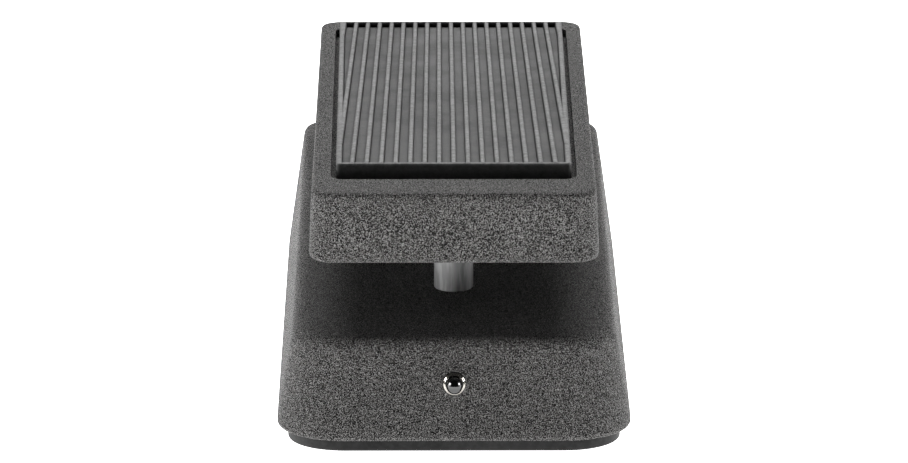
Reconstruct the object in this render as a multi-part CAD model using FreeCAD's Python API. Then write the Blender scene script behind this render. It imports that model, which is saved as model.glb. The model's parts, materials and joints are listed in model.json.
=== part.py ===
import FreeCAD, Part
import math
import os

# Rocker effects pedal: a drafted housing on a rubber mat, a treadle that rocks on an axle in
# the middle, a rack and pinion that turn a potentiometer, a footswitch under the toe and a small
# lever switch in the heel wall.
# Millimetres. +Z up, heel at -Y, toe at +Y. The axle lies above Y = 0 and the mat rests on Z = 0.

V = FreeCAD.Vector

# ---------------------------------------------------------------- driving sizes
# Housing casting
housing_length = 203.0
housing_heel_width = 75.6
housing_toe_width = 89.3
housing_heel_top_width = 68.1
housing_toe_top_width = 78.9
housing_heel_height = 24.2
housing_toe_height = 37.1
heel_wall_lean = 3.45
toe_wall_lean = 4.8
housing_heel_corner_radius = 15.0
housing_toe_corner_radius = 8.0
housing_heel_top_corner_radius = 11.0
housing_toe_top_corner_radius = 5.5
housing_edge_radius = 3.0
housing_lower_edge_radius = 1.6
wall_thickness = 3.0
roof_thickness = 2.8
side_slot_size = 2.0
side_slot_length = 4.0
side_slot_depth = 1.0
side_slot_from_toe = 36.0
side_slot_rise = 2.2
side_slot_lean = 0.5
wall_hole_overrun = 4.0

# Mat and base plate
mat_thickness = 2.6
mat_inset = 2.5
plate_thickness = 1.5
plate_inset = 2.1
plate_clearance = 0.15
base_screw_radius = 1.9
base_screw_head_radius = 3.6
base_screw_head_height = 1.9
base_screw_length = 12.0
base_boss_radius = 4.4
base_boss_from_side = 9.2
base_boss_from_heel = 14.5
base_boss_from_toe = 20.5
mat_hole_clearance = 0.6
mat_edge_radius = 0.6

# Treadle
treadle_heel_inset = 8.0
treadle_toe_inset = 6.6
treadle_tilt_from_roof_deg = -0.67
treadle_heel_width = 61.3
treadle_toe_width = 70.7
treadle_top_draw = 0.65
treadle_heel_depth = 15.05
treadle_toe_depth = 11.5
treadle_rim_height = 17.45
treadle_corner_radius = 5.5
treadle_edge_radius = 1.2
treadle_lower_edge_radius = 1.1
treadle_skirt_thickness = 2.8
web_thickness = 2.5
web_rib_height = 3.5
web_rib_thickness = 2.0
heel_rib_share = 0.45
toe_rib_share = 0.42
long_rib_share = 0.55
long_rib_heel_share = 0.8
long_rib_toe_end = -12.0
recess_depth = 2.0
recess_corner_radius = 3.0
recess_side_gap = 1.15
recess_heel_rim = 13.4
recess_toe_rim = 11.2

# Tread pad
pad_heel_gap = 4.8
pad_toe_gap = 1.2
pad_heel_width = 50.6
pad_toe_width = 58.8
pad_proud = 2.3
pad_corner_radius = 1.0
rib_pitch = 3.13
rib_width = 1.2
rib_height = 1.35
pad_border = 1.4
pad_border_corner_radius = 0.3

# Axle, bracket and friction block
axle_rise = 11.3
axle_radius = 2.5
running_clearance = 0.05
axle_bracket_thickness = 2.0
axle_bracket_half_width = 15.0
axle_bracket_half_length = 13.0
axle_bracket_eye_radius = 6.0
bracket_screw_inset_x = 6.4
bracket_screw_inset_y = 3.4
bracket_screw_proud = 1.2
bush_wall = 1.5
bush_flange_radius = 5.2
bush_flange_thickness = 1.0
body_gap = 0.3
treadle_ear_thickness = 4.0
treadle_ear_radius = 5.6
clip_thickness = 0.8
clip_radius = 4.4
clip_gap_half_width = 1.6
axle_end = 1.0
friction_block_half_width = 5.0
friction_block_half_length = 6.0
friction_block_top_share = 0.4
tension_screw_radius = 2.0
tension_screw_proud = 1.5
tension_slot_half_width = 0.4
tension_slot_depth = 1.2
tension_boss_radius = 5.0
tension_boss_drop = 3.4

# Small screws
m3_radius = 1.5
m3_head_radius = 2.8
m3_head_height = 1.8
thread_gap = 0.02
m25_radius = 1.25
m25_head_radius = 2.2
m25_head_height = 1.4
screw_rim_share = 0.45
cross_depth_share = 0.55
cross_width_share = 0.28
cross_reach_share = 0.6

# Travel, from the rest pose
toe_down_deg = 7.0
heel_down_deg = 1.8
stop_gap = 0.3

# Bumpers
heel_bumper_radius = 4.3
heel_bumper_from_heel = 24.0
heel_bumper_stem_radius = 2.5
bumper_boss_radius = 6.0
bumper_boss_face = 7.0
bumper_chamfer = 0.25
toe_pad_radius = 6.0
toe_pad_thickness = 3.0
toe_pad_stem_radius = 1.6
toe_boss_height = 1.13
toe_pad_edge_radius = 0.6
stem_hole_cover = 0.5
stem_end_gap = 0.5

# Rack and pinion
gear_module = 0.8
pinion_teeth = 14
pressure_angle_deg = 20.0
rack_arm = 55.0
rack_width = 5.0
rack_back = 3.0
rack_addendum = 0.56
tooth_backlash = 0.16
rack_pin_radius = 1.5
rack_eye_clearance = 0.45
rack_eye_radius = 3.6
rack_pin_height = 3.4
rack_pin_proud = 0.6
rack_x = 23.0
rack_ear_thickness = 2.5
rack_slot_clearance = 1.0
rack_teeth_above = 9.0
rack_teeth_below = 5.5
rack_end_margin = 0.3
pinion_extra_width = 1.0
pinion_hub_length = 2.0
pinion_hub_inset = 1.3
guide_clearance = 0.15
guide_thickness = 4.0
guide_height = 11.0
guide_rise = 0.5
guide_side_margin = 1.2
guide_cheek_thickness = 3.0
guide_cheek_reach = 2.5
guide_screw_bite = 5.5

# Potentiometer and its bracket
pot_drop = 13.5
pot_body_radius = 8.5
pot_body_length = 9.5
pot_shaft_radius = 3.0
pot_bush_radius = 3.5
pot_bush_length = 5.0
pot_lug_length = 3.0
pot_lug_pitch = 4.0
pot_lug_half_width = 0.8
pot_lug_from_face = 2.4
pot_lug_thickness = 0.6
pot_lug_root_share = 0.8
pot_shaft_seat = 3.0
pot_shaft_end_gap = 0.3
pot_shaft_proud = 2.6
pot_bracket_thickness = 1.5
pot_bracket_x = 12.0
pot_nut_across_flats = 10.0
pot_nut_thickness = 2.0
pot_washer_radius = 5.6
pot_washer_thickness = 0.6
pot_flange_length = 9.5
pot_flange_width = 14.0
pot_bracket_edge = 1.0
pot_screw_inset_left = 4.0
pot_screw_inset_right = 3.2
pot_screw_end_gap = 0.3

# Footswitch
footswitch_half_width = 6.5
footswitch_half_length = 8.5
footswitch_body_height = 14.0
footswitch_lug_length = 3.4
footswitch_lug_x = 3.6
footswitch_lug_y = 5.0
footswitch_rim_chamfer = 0.6
footswitch_bush_radius = 6.0
footswitch_bush_rise = 5.5
footswitch_bush_depth = 8.0
footswitch_nut_across_flats = 14.0
footswitch_nut_thickness = 2.0
footswitch_washer_radius = 8.0
footswitch_washer_thickness = 0.6
plunger_radius = 4.0
plunger_travel = 3.0
plunger_end_gap = 0.5
plunger_edge_radius = 1.0
hole_clearance = 0.15

# Jacks in the toe wall
jack_spacing = 40.0
jack_height = 18.5
jack_bore_radius = 3.25
jack_bush_radius = 4.6
jack_bush_proud = 5.56
jack_nut_across_flats = 12.0
jack_nut_thickness = 2.3
jack_washer_radius = 7.2
jack_washer_thickness = 0.7
jack_body_width = 15.0
jack_body_height = 17.0
jack_body_length = 21.0
jack_back_wall = 1.5
jack_shoulder_gap = 0.2
jack_rim_chamfer = 0.5
jack_lug_length = 3.0
jack_lug_x = 4.5
jack_lug_half_width = 1.0
power_jack_height = 18.5
power_jack_radius = 5.0
power_jack_bore_radius = 2.9
power_jack_bore_depth = 9.5
power_jack_pin_radius = 1.05
power_jack_proud = 1.8
power_jack_flange_radius = 6.6
power_jack_flange_thickness = 1.2
power_jack_body_length = 12.0
power_jack_lug_length = 1.2
power_jack_lug_x = 2.5
power_jack_tube_end = 6.0
power_jack_nut_gap = 0.3
power_jack_pin_root = 1.5
power_jack_pin_set_back = 1.2
power_jack_pin_tip_radius = 0.5
power_jack_body_radius = 5.6
power_jack_nut_across_flats = 13.0
power_jack_nut_thickness = 2.4
footswitch_to_power_jack = 0.8

# Lever switch in the heel wall
lever_height = 14.9
lever_bush_radius = 2.35
lever_bush_proud = 1.4
lever_bush_rim_radius = 2.1
lever_bush_bore_radius = 1.85
lever_pivot_depth = 3.2
lever_rod_radius = 0.78
lever_ball_radius = 1.75
lever_ball_reach = 2.8
lever_throat_radius = 1.15
lever_tail = 4.4
lever_neck_share = 1.35
lever_nut_across_flats = 6.5
lever_nut_thickness = 1.6
lever_body_width = 11.0
lever_body_height = 7.0
lever_body_depth = 9.0
lever_lug_length = 3.5
lever_lug_pitch = 3.6
lever_lug_half_width = 0.8
lever_room_depth = 5.0
lever_room_half_width = 3.0
lever_room_half_height = 1.6

# Circuit board, parts on it and battery
board_drop = 6.7
board_thickness = 1.6
board_x = (-3.5, 30.0)
board_heel_y = -64.0
board_to_pot_bracket = 9.12
board_pillar_radius = 3.0
board_pillar_inset = 4.2
board_screw_bite = 5.0
# The parts' places are (x, y from the board's toe edge)
inductor_place = (8.0, -61.0)
inductor_radius = 6.5
inductor_height = 8.0
inductor_recess_radius = 1.6
inductor_recess_depth = 2.0
electrolytic_places = ((20.0, -64.0), (20.0, -55.0), (5.0, -45.0), (19.5, -27.0))
electrolytic_radius = 2.5
electrolytic_height = 7.5
film_places = ((13.0, -48.0), (21.0, -46.0), (4.0, -31.0), (13.0, -33.0), (19.5, -16.0))
film_half_length = 3.6
film_half_width = 1.5
film_height = 6.0
transistor_places = ((4.0, -21.0), (4.5, -15.0), (13.5, -53.0))
transistor_radius = 2.3
transistor_height = 7.0
transistor_flat = 1.4
resistor_rows = ((26.8, -41.0, 6), (12.0, -25.0, 3))
resistor_pitch = 4.0
resistor_radius = 1.1
resistor_half_length = 2.8
battery_length = 48.5
battery_width = 26.5
battery_height = 17.5
battery_x = -32.0
battery_end_y = -8.5
battery_edge_radius = 1.6
battery_pad_thickness = 0.6
battery_pad_inset = 1.5
snap_thickness = 6.0
snap_half_width = 12.0
snap_half_height = 6.5
snap_corner_radius = 2.0
header_from_toe = 10.0
heel_header_from_heel = 3.0
header_xs = (-0.5, 12.5)
heel_header_x = 10.0
header_length = 8.0
header_half_width = 1.6
header_height = 5.0
lead_radius = 0.6

# Solder lugs on switches and jacks
lug_half_width = 0.9
lug_half_thickness = 0.4

# How far a cutting shape runs past the face that it starts from
over = 1.0
# How far a shape reaches into the one that it is joined to
sunk = 0.5
# Flats that make up a lower edge's round
lower_edge_steps = 4

# ---------------------------------------------------------------- values that follow
half_length = housing_length / 2
casting_bottom = mat_thickness
plate_top = casting_bottom + plate_thickness
heel_top_y = -half_length + heel_wall_lean
toe_top_y = half_length - toe_wall_lean
roof_slope = (housing_toe_height - housing_heel_height) / (toe_top_y - heel_top_y)
roof_deg = math.degrees(math.atan(roof_slope))
roof_rad = math.radians(roof_deg)
axle_foot_y = axle_rise * math.sin(roof_rad)
axle_z = housing_heel_height + roof_slope * (axle_foot_y - heel_top_y) + axle_rise * math.cos(roof_rad)
roof_level = -axle_rise
ceiling_level = roof_level - roof_thickness
treadle_tilt_deg = roof_deg + treadle_tilt_from_roof_deg
relative_tilt = math.radians(treadle_tilt_from_roof_deg)
toe_down = math.radians(toe_down_deg) - relative_tilt
heel_down = math.radians(heel_down_deg) + relative_tilt
heel_lean_deg = math.degrees(math.atan(heel_wall_lean / (housing_heel_height - casting_bottom)))
toe_lean_deg = math.degrees(math.atan(toe_wall_lean / (housing_toe_height - casting_bottom)))

# Frames: the roof frame and the treadle frame both have their origin on the axle's axis
roof_frame = FreeCAD.Placement(V(0, 0, axle_z), FreeCAD.Rotation(V(1, 0, 0), roof_deg))
treadle_frame = FreeCAD.Placement(V(0, 0, axle_z), FreeCAD.Rotation(V(1, 0, 0), treadle_tilt_deg))


def wall_frame(x, y, z, lean_deg, towards_toe):
    """Frame on a leaning end wall: its +Z is the wall's outward normal."""
    angle = -(90 - lean_deg) if towards_toe else 90 - lean_deg
    return FreeCAD.Placement(V(x, y, z), FreeCAD.Rotation(V(1, 0, 0), angle))


def heel_wall_y(z):
    return -half_length + heel_wall_lean * (z - casting_bottom) / (housing_heel_height - casting_bottom)


def toe_wall_y(z):
    return half_length - toe_wall_lean * (z - casting_bottom) / (housing_toe_height - casting_bottom)


# ---------------------------------------------------------------- shape helpers
def box(x0, x1, y0, y1, z0, z1):
    return Part.makeBox(x1 - x0, y1 - y0, z1 - z0, V(x0, y0, z0))


def rod(radius, start, end):
    axis = end - start
    return Part.makeCylinder(radius, axis.Length, start, axis)


def upright(radius, x, y, z0, z1):
    return Part.makeCylinder(radius, z1 - z0, V(x, y, z0))


def across(radius, x0, x1, y, z):
    return Part.makeCylinder(radius, x1 - x0, V(x0, y, z), V(1, 0, 0))


def hexagon(across_flats, thickness, z0, bore_radius):
    """Hexagon nut about the local Z axis, with its corners turned off."""
    corner = across_flats / math.sqrt(3)
    points = [V(corner * math.cos(i * math.pi / 3), corner * math.sin(i * math.pi / 3), z0) for i in range(7)]
    nut = Part.Face(Part.makePolygon(points)).extrude(V(0, 0, thickness))
    turned = Part.makeCone(corner, across_flats / 2, thickness, V(0, 0, z0))
    nut = nut.common(turned.fuse(Part.makeCylinder(corner * 0.94, thickness, V(0, 0, z0))))
    return nut.cut(Part.makeCylinder(bore_radius, thickness, V(0, 0, z0)))


def washer(radius, bore_radius, z0, thickness):
    return upright(radius, 0, 0, z0, z0 + thickness).cut(upright(bore_radius, 0, 0, z0, z0 + thickness))


def rounded_wire(points, radii):
    """Closed wire through the points, each corner turned by an arc of its own radius."""
    count = len(points)
    corners = []
    for i, corner in enumerate(points):
        before = (points[i - 1] - corner).normalize()
        after = (points[(i + 1) % count] - corner).normalize()
        half_angle = before.getAngle(after) / 2
        setback = radii[i] / math.tan(half_angle)
        bisector = (before + after).normalize()
        middle = corner + bisector * (radii[i] / math.sin(half_angle) - radii[i])
        corners.append((corner + before * setback, middle, corner + after * setback))
    edges = []
    for i, (start, middle, end) in enumerate(corners):
        edges.append(Part.Arc(start, middle, end).toShape())
        edges.append(Part.LineSegment(end, corners[(i + 1) % count][0]).toShape())
    return Part.Wire(edges)


def trapezoid(heel, toe, heel_radius, toe_radius):
    """Rounded outline: heel and toe are (half width, y, z) of the two ends."""
    heel_half, heel_y, heel_z = heel
    toe_half, toe_y, toe_z = toe
    points = [
        V(-heel_half, heel_y, heel_z),
        V(heel_half, heel_y, heel_z),
        V(toe_half, toe_y, toe_z),
        V(-toe_half, toe_y, toe_z),
    ]
    return rounded_wire(points, [heel_radius, heel_radius, toe_radius, toe_radius])


def ruled_solid(*outlines):
    return Part.makeLoft(list(outlines), True, True)


def turned_under(outline, radius):
    """Outlines of a lower edge that rounds inwards. outline takes an inset and a rise."""
    outlines = []
    for i in range(lower_edge_steps + 1):
        angle = math.pi / 2 * i / lower_edge_steps
        outlines.append(outline(radius * (1 - math.sin(angle)), radius * (1 - math.cos(angle))))
    return outlines


def round_top(solid, radius):
    """Fillet all round the top face."""
    top = max(solid.Faces, key=lambda face: face.CenterOfMass.z)
    return solid.makeFillet(radius, top.Edges)


def slab(outline, thickness):
    return Part.Face(outline).extrude(V(0, 0, thickness))


def join(shapes):
    result = shapes[0].fuse(shapes[1:]) if len(shapes) > 1 else shapes[0]
    return result.removeSplitter()


def pan_screw(radius, head_radius, head_height, length):
    """Screw along local -Z with its head's seat at Z = 0."""
    head = upright(head_radius, 0, 0, 0, head_height)
    rim = [edge for edge in head.Edges if edge.BoundBox.ZMin > head_height / 2 and edge.Closed]
    head = head.makeFillet(head_height * screw_rim_share, rim[:1])
    shank = upright(radius, 0, 0, -length, 0)
    recess = head_height * cross_depth_share
    slot_width = head_radius * cross_width_share
    slot_reach = head_radius * cross_reach_share
    floor = head_height - recess
    cross = box(-slot_reach, slot_reach, -slot_width, slot_width, floor, head_height)
    cross = cross.fuse(box(-slot_width, slot_width, -slot_reach, slot_reach, floor, head_height))
    return head.fuse(shank).removeSplitter().cut(cross)


def lug(half_width, low, root, x, y=0.0):
    """Solder lug that hangs from a face at root down to low."""
    y0 = y - lug_half_thickness
    return box(x - half_width, x + half_width, y0, y0 + 2 * lug_half_thickness, low, root + sunk)


def placed(shape, x=0.0, y=0.0, z=0.0, flip=False):
    """Copy moved to (x, y, z), turned over about X first when flip is set."""
    turn = FreeCAD.Rotation(V(1, 0, 0), 180 if flip else 0)
    copy = shape.copy()
    copy.Placement = FreeCAD.Placement(V(x, y, z), turn).multiply(copy.Placement)
    return copy


def framed(shape, frame):
    copy = shape.copy()
    copy.Placement = frame.multiply(copy.Placement)
    return copy


def group(shapes):
    return Part.makeCompound(shapes)


# ---------------------------------------------------------------- housing
def base_outline(inset, z):
    """Outline at the casting's lower edge, or of a flat piece under it, moved inwards by inset."""
    heel = (housing_heel_width / 2 - inset, -half_length + inset, z)
    toe = (housing_toe_width / 2 - inset, half_length - inset, z)
    return trapezoid(heel, toe, housing_heel_corner_radius - inset, housing_toe_corner_radius - inset)


def on_wall(low_value, high_value, z, top_z):
    """Value at height z on a wall that leans evenly from the lower edge up to top_z."""
    return low_value + (high_value - low_value) * (z - casting_bottom) / (top_z - casting_bottom)


def wall_outline(inset, rise):
    """Outline of the walls at a rise above the casting's lower edge, moved inwards by inset."""
    z = casting_bottom + rise
    heel_half = on_wall(housing_heel_width, housing_heel_top_width, z, housing_heel_height) / 2
    toe_half = on_wall(housing_toe_width, housing_toe_top_width, z, housing_toe_height) / 2
    heel = (heel_half - inset, heel_wall_y(z) + inset, z)
    toe = (toe_half - inset, toe_wall_y(z) - inset, z)
    return trapezoid(heel, toe, housing_heel_corner_radius - inset, housing_toe_corner_radius - inset)


def roof_z(y):
    return housing_heel_height + roof_slope * (y - heel_top_y)


def roof_outline(inset, drop):
    """Outline in the roof's plane, or drop below it, moved inwards by inset from the walls there."""
    heel_y = heel_wall_y(roof_z(heel_top_y + inset) - drop) + inset
    toe_y = toe_wall_y(roof_z(toe_top_y - inset) - drop) - inset
    heel_z = roof_z(heel_y) - drop
    toe_z = roof_z(toe_y) - drop
    heel_width = on_wall(housing_heel_width, housing_heel_top_width, heel_z, housing_heel_height)
    toe_width = on_wall(housing_toe_width, housing_toe_top_width, toe_z, housing_toe_height)
    heel = (heel_width / 2 - inset, heel_y, heel_z)
    toe = (toe_width / 2 - inset, toe_y, toe_z)
    return trapezoid(heel, toe, housing_heel_top_corner_radius - inset, housing_toe_top_corner_radius - inset)


def side_x(y):
    """Half width of the casting's lower edge at y."""
    share = (y + half_length) / housing_length
    return (housing_heel_width + (housing_toe_width - housing_heel_width) * share) / 2


def base_screw_places():
    heel_y = -half_length + base_boss_from_heel
    toe_y = half_length - base_boss_from_toe
    places = []
    for y in (heel_y, toe_y):
        x = side_x(y) - base_boss_from_side
        places += [(-x, y), (x, y)]
    return places


def board_screw_places():
    xs = (board_x[0] + board_pillar_inset, board_x[1] - board_pillar_inset)
    ys = (board_y[0] + board_pillar_inset, board_y[1] - board_pillar_inset)
    return [(x, y) for y in ys for x in xs]


bracket_screw_x = axle_bracket_half_width - bracket_screw_inset_x
bracket_screw_y = axle_bracket_half_length - bracket_screw_inset_y
bracket_screw_places = [(i * bracket_screw_x, j * bracket_screw_y) for i in (-1, 1) for j in (-1, 1)]

rack_pitch_y = rack_arm - rack_back / 2 - gear_module * 1.25 / 2 - rack_addendum / 2
pinion_pitch_radius = gear_module * pinion_teeth / 2
pinion_y = rack_pitch_y - pinion_pitch_radius
rack_back_y = rack_pitch_y + gear_module * 1.25 + rack_back
pot_level = roof_level - pot_drop
pot_flange_y = pinion_y - pot_body_radius - pot_bracket_edge - pot_flange_length
board_y = (board_heel_y, pot_flange_y - board_to_pot_bracket)
header_y = board_y[1] - header_from_toe
heel_header_y = board_heel_y + heel_header_from_heel
pot_screw_places = [
    (pot_bracket_x - pot_flange_width + pot_screw_inset_left, pot_flange_y + pot_flange_length / 2),
    (pot_bracket_x - pot_screw_inset_right, pot_flange_y + pot_flange_length / 2),
]

footswitch_shoulder = ceiling_level - footswitch_nut_thickness
footswitch_low = footswitch_shoulder - footswitch_body_height
power_jack_depth = wall_thickness + power_jack_body_length + power_jack_lug_length
power_jack_inner_y = toe_wall_y(power_jack_height) - power_jack_depth
footswitch_toe_face = power_jack_inner_y - footswitch_to_power_jack + footswitch_low * math.sin(roof_rad)
footswitch_y = footswitch_toe_face / math.cos(roof_rad) - footswitch_half_length

heel_switch_frame = wall_frame(0, heel_wall_y(lever_height), lever_height, heel_lean_deg, False)
power_frame = wall_frame(0, toe_wall_y(power_jack_height), power_jack_height, toe_lean_deg, True)


def jack_frame(x):
    return wall_frame(x, toe_wall_y(jack_height), jack_height, toe_lean_deg, True)


def rack_slot():
    half_width = rack_width / 2 + rack_slot_clearance
    front = rack_pitch_y - rack_addendum - rack_slot_clearance
    back = rack_back_y + rack_slot_clearance
    return box(rack_x - half_width, rack_x + half_width, front, back, ceiling_level - over, roof_level + over)


def housing_casting():
    outlines = turned_under(wall_outline, housing_lower_edge_radius)
    outer = round_top(ruled_solid(*outlines, roof_outline(0, 0)), housing_edge_radius)
    cavity_foot = base_outline(wall_thickness, casting_bottom)
    cavity = ruled_solid(cavity_foot, roof_outline(wall_thickness, roof_thickness))
    shell = outer.cut(cavity)

    posts = [upright(base_boss_radius, x, y, plate_top, axle_z) for x, y in base_screw_places()]
    posts = [post.common(outer) for post in posts]
    roof_posts = [
        upright(board_pillar_radius, x, y, ceiling_level - board_drop, ceiling_level + sunk)
        for x, y in board_screw_places()
    ]
    tension_face = ceiling_level - tension_boss_drop
    roof_posts.append(upright(tension_boss_radius, 0, 0, tension_face, ceiling_level + sunk))
    shell = shell.fuse(posts + [framed(post, roof_frame) for post in roof_posts])

    cuts = [slab(base_outline(plate_inset - plate_clearance, casting_bottom - over), plate_thickness + over)]
    for x, y in base_screw_places():
        depth = base_screw_length - plate_thickness + over
        cuts.append(upright(base_screw_radius + thread_gap, x, y, plate_top, plate_top + depth))
    roof_cuts = [rack_slot()]
    for x, y in board_screw_places():
        level = ceiling_level - board_drop
        roof_cuts.append(upright(m3_radius + thread_gap, x, y, level, level + board_screw_bite + over))
    for x, y in bracket_screw_places + pot_screw_places:
        roof_cuts.append(upright(m3_radius + thread_gap, x, y, ceiling_level - over, roof_level + over))
    roof_cuts.append(upright(tension_screw_radius + thread_gap, 0, 0, tension_face - over, roof_level + over))
    footswitch_hole = footswitch_bush_radius + hole_clearance
    roof_cuts.append(upright(footswitch_hole, 0, footswitch_y, ceiling_level - over, roof_level + over))
    cuts += [framed(cut, roof_frame) for cut in roof_cuts]

    cuts.append(wall_hole(lever_bush_radius, heel_switch_frame))
    cuts.append(wall_hole(power_jack_radius, power_frame))
    cuts += [wall_hole(jack_bush_radius, jack_frame(side * jack_spacing / 2)) for side in (-1, 1)]
    cuts.append(side_slot())
    return shell.cut(cuts)


def wall_hole(radius, frame):
    """Cutting shape for a bush of this radius through an end wall."""
    inner = -wall_thickness - wall_hole_overrun
    return framed(upright(radius + hole_clearance, 0, 0, inner, wall_hole_overrun), frame)


def side_slot():
    """Small slot low on the right side wall, near the toe."""
    y = half_length - side_slot_from_toe
    x = side_x(y)
    z = casting_bottom + side_slot_rise
    inner_x = x - side_slot_depth - side_slot_lean
    return box(inner_x, x + over, y, y + side_slot_length, z, z + side_slot_size)


# ---------------------------------------------------------------- base
def base_plate():
    plate = slab(base_outline(plate_inset, casting_bottom), plate_thickness)
    radius = base_screw_radius + hole_clearance
    return plate.cut([upright(radius, x, y, casting_bottom, plate_top) for x, y in base_screw_places()])


def base_mat():
    mat = slab(base_outline(mat_inset, 0), mat_thickness)
    low_rim = [edge for edge in mat.Edges if edge.BoundBox.ZMax < 0.01]
    mat = mat.makeFillet(mat_edge_radius, low_rim)
    radius = base_screw_head_radius + mat_hole_clearance
    holes = [upright(radius, x, y, 0, mat_thickness) for x, y in base_screw_places()]
    return mat.cut(holes)


def base_screws():
    screw = pan_screw(base_screw_radius, base_screw_head_radius, base_screw_head_height, base_screw_length)
    return group([placed(screw, x, y, casting_bottom, flip=True) for x, y in base_screw_places()])


# ---------------------------------------------------------------- treadle
def in_treadle_frame(y, z):
    """Point (y, z) of the roof frame, in the treadle frame at rest."""
    turned_y = y * math.cos(relative_tilt) + z * math.sin(relative_tilt)
    return turned_y, z * math.cos(relative_tilt) - y * math.sin(relative_tilt)


treadle_heel_y = -half_length + treadle_heel_inset
treadle_toe_y = half_length - treadle_toe_inset
tilt = math.radians(treadle_tilt_deg)
heel_reach = -(treadle_heel_y * math.cos(tilt))
toe_reach = treadle_toe_y * math.cos(tilt)
web_top = treadle_rim_height - recess_depth
web_bottom = web_top - web_thickness
pad_heel_y = -heel_reach + recess_heel_rim + pad_heel_gap
pad_toe_y = toe_reach - recess_toe_rim - pad_toe_gap
pad_top = treadle_rim_height + pad_proud
heel_bumper_y = -heel_reach + heel_bumper_from_heel
bumper_reach = -heel_bumper_y + heel_bumper_radius
heel_bumper_face = (roof_level + stop_gap + bumper_reach * math.sin(heel_down)) / math.cos(heel_down)
toe_pad_face = web_bottom - toe_boss_height - toe_pad_thickness
toe_pad_drop = (footswitch_y + plunger_radius) * math.sin(toe_down)
plunger_top = toe_pad_face * math.cos(toe_down) - toe_pad_drop - stop_gap
toe_pad_y = in_treadle_frame(footswitch_y, plunger_top)[0]
lug_pin_y, lug_pin_z = in_treadle_frame(rack_arm, rack_pin_height)


def treadle_outline(draw, inset, heel_z, toe_z):
    heel = (treadle_heel_width / 2 - draw - inset, -heel_reach + draw + inset, heel_z)
    toe = (treadle_toe_width / 2 - draw - inset, toe_reach - draw - inset, toe_z)
    radius = treadle_corner_radius - inset * 0.8
    return trapezoid(heel, toe, radius, radius)


def pad_outline(z, grow=0.0, radius=pad_corner_radius, heel_more=0.0, toe_more=0.0):
    spread = (pad_toe_width - pad_heel_width) / (pad_toe_y - pad_heel_y) / 2
    heel = (pad_heel_width / 2 + grow - spread * heel_more, pad_heel_y - heel_more, z)
    toe = (pad_toe_width / 2 + grow + spread * toe_more, pad_toe_y + toe_more, z)
    return trapezoid(heel, toe, radius, radius)


ear_inner = axle_bracket_half_width + bush_flange_thickness + body_gap


def treadle_ear(side):
    """Ear for the axle, hanging from the web and round at its lower end."""
    radius = treadle_ear_radius
    x0 = ear_inner if side > 0 else -ear_inner - treadle_ear_thickness
    x1 = x0 + treadle_ear_thickness
    leg = box(x0, x1, -radius, radius, 0, web_bottom + sunk)
    return leg.fuse(across(radius, x0, x1, 0, 0))


rack_ear_inner = rack_width / 2 + body_gap


def rack_lugs():
    lugs = []
    for side in (-1, 1):
        x0 = rack_x + rack_ear_inner if side > 0 else rack_x - rack_ear_inner - rack_ear_thickness
        x1 = x0 + rack_ear_thickness
        y0 = lug_pin_y - rack_eye_radius
        leg = box(x0, x1, y0, y0 + 2 * rack_eye_radius, lug_pin_z, web_bottom + sunk)
        lugs.append(leg.fuse(across(rack_eye_radius, x0, x1, lug_pin_y, lug_pin_z)))
    return lugs


def treadle_casting():
    def lower_outline(inset, rise):
        low = treadle_rim_height + rise
        return treadle_outline(0, inset, low - treadle_heel_depth, low - treadle_toe_depth)

    outlines = turned_under(lower_outline, treadle_lower_edge_radius)
    upper = treadle_outline(treadle_top_draw, 0, treadle_rim_height, treadle_rim_height)
    outer = round_top(ruled_solid(*outlines, upper), treadle_edge_radius)
    skirt = treadle_skirt_thickness
    low_z = treadle_rim_height - treadle_heel_depth - over
    toe_low_z = treadle_rim_height - treadle_toe_depth - over
    cavity = ruled_solid(
        treadle_outline(0, skirt, low_z, toe_low_z),
        treadle_outline(treadle_top_draw, skirt, web_bottom, web_bottom),
    )
    body = outer.cut(cavity)

    additions = [treadle_ear(-1), treadle_ear(1)] + rack_lugs()
    additions.append(upright(bumper_boss_radius, 0, heel_bumper_y, bumper_boss_face, web_bottom + sunk))
    toe_boss_face = toe_pad_face + toe_pad_thickness
    additions.append(upright(toe_pad_radius, 0, toe_pad_y, toe_boss_face, web_bottom + sunk))
    half_web = treadle_heel_width / 2 - skirt
    rib_low = web_bottom - web_rib_height
    for y in (-heel_reach * heel_rib_share, toe_reach * toe_rib_share):
        additions.append(box(-half_web, half_web, y, y + web_rib_thickness, rib_low, web_bottom + sunk))
    rib_heel_end = -heel_reach * long_rib_heel_share
    for x in (-half_web * long_rib_share, half_web * long_rib_share):
        rib_x1 = x + web_rib_thickness
        additions.append(box(x, rib_x1, rib_heel_end, long_rib_toe_end, rib_low, web_bottom + sunk))
    body = body.fuse(additions).removeSplitter()

    floor = pad_outline(web_top, recess_side_gap, recess_corner_radius, pad_heel_gap, pad_toe_gap)
    recess = slab(floor, recess_depth + over)
    clip_face = ear_inner + treadle_ear_thickness
    heel_hole_top = web_bottom - stem_hole_cover
    toe_hole_top = web_top - stem_hole_cover
    cuts = [
        recess,
        across(axle_radius + thread_gap, -clip_face - over, clip_face + over, 0, 0),
        across(
            rack_pin_radius + thread_gap,
            rack_x - rack_ear_inner - rack_ear_thickness - over,
            rack_x + rack_ear_inner + rack_ear_thickness + over,
            lug_pin_y,
            lug_pin_z,
        ),
        upright(heel_bumper_stem_radius, 0, heel_bumper_y, bumper_boss_face - over, heel_hole_top),
        upright(toe_pad_stem_radius, 0, toe_pad_y, toe_boss_face - over, toe_hole_top),
    ]
    return body.cut(cuts)


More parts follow.
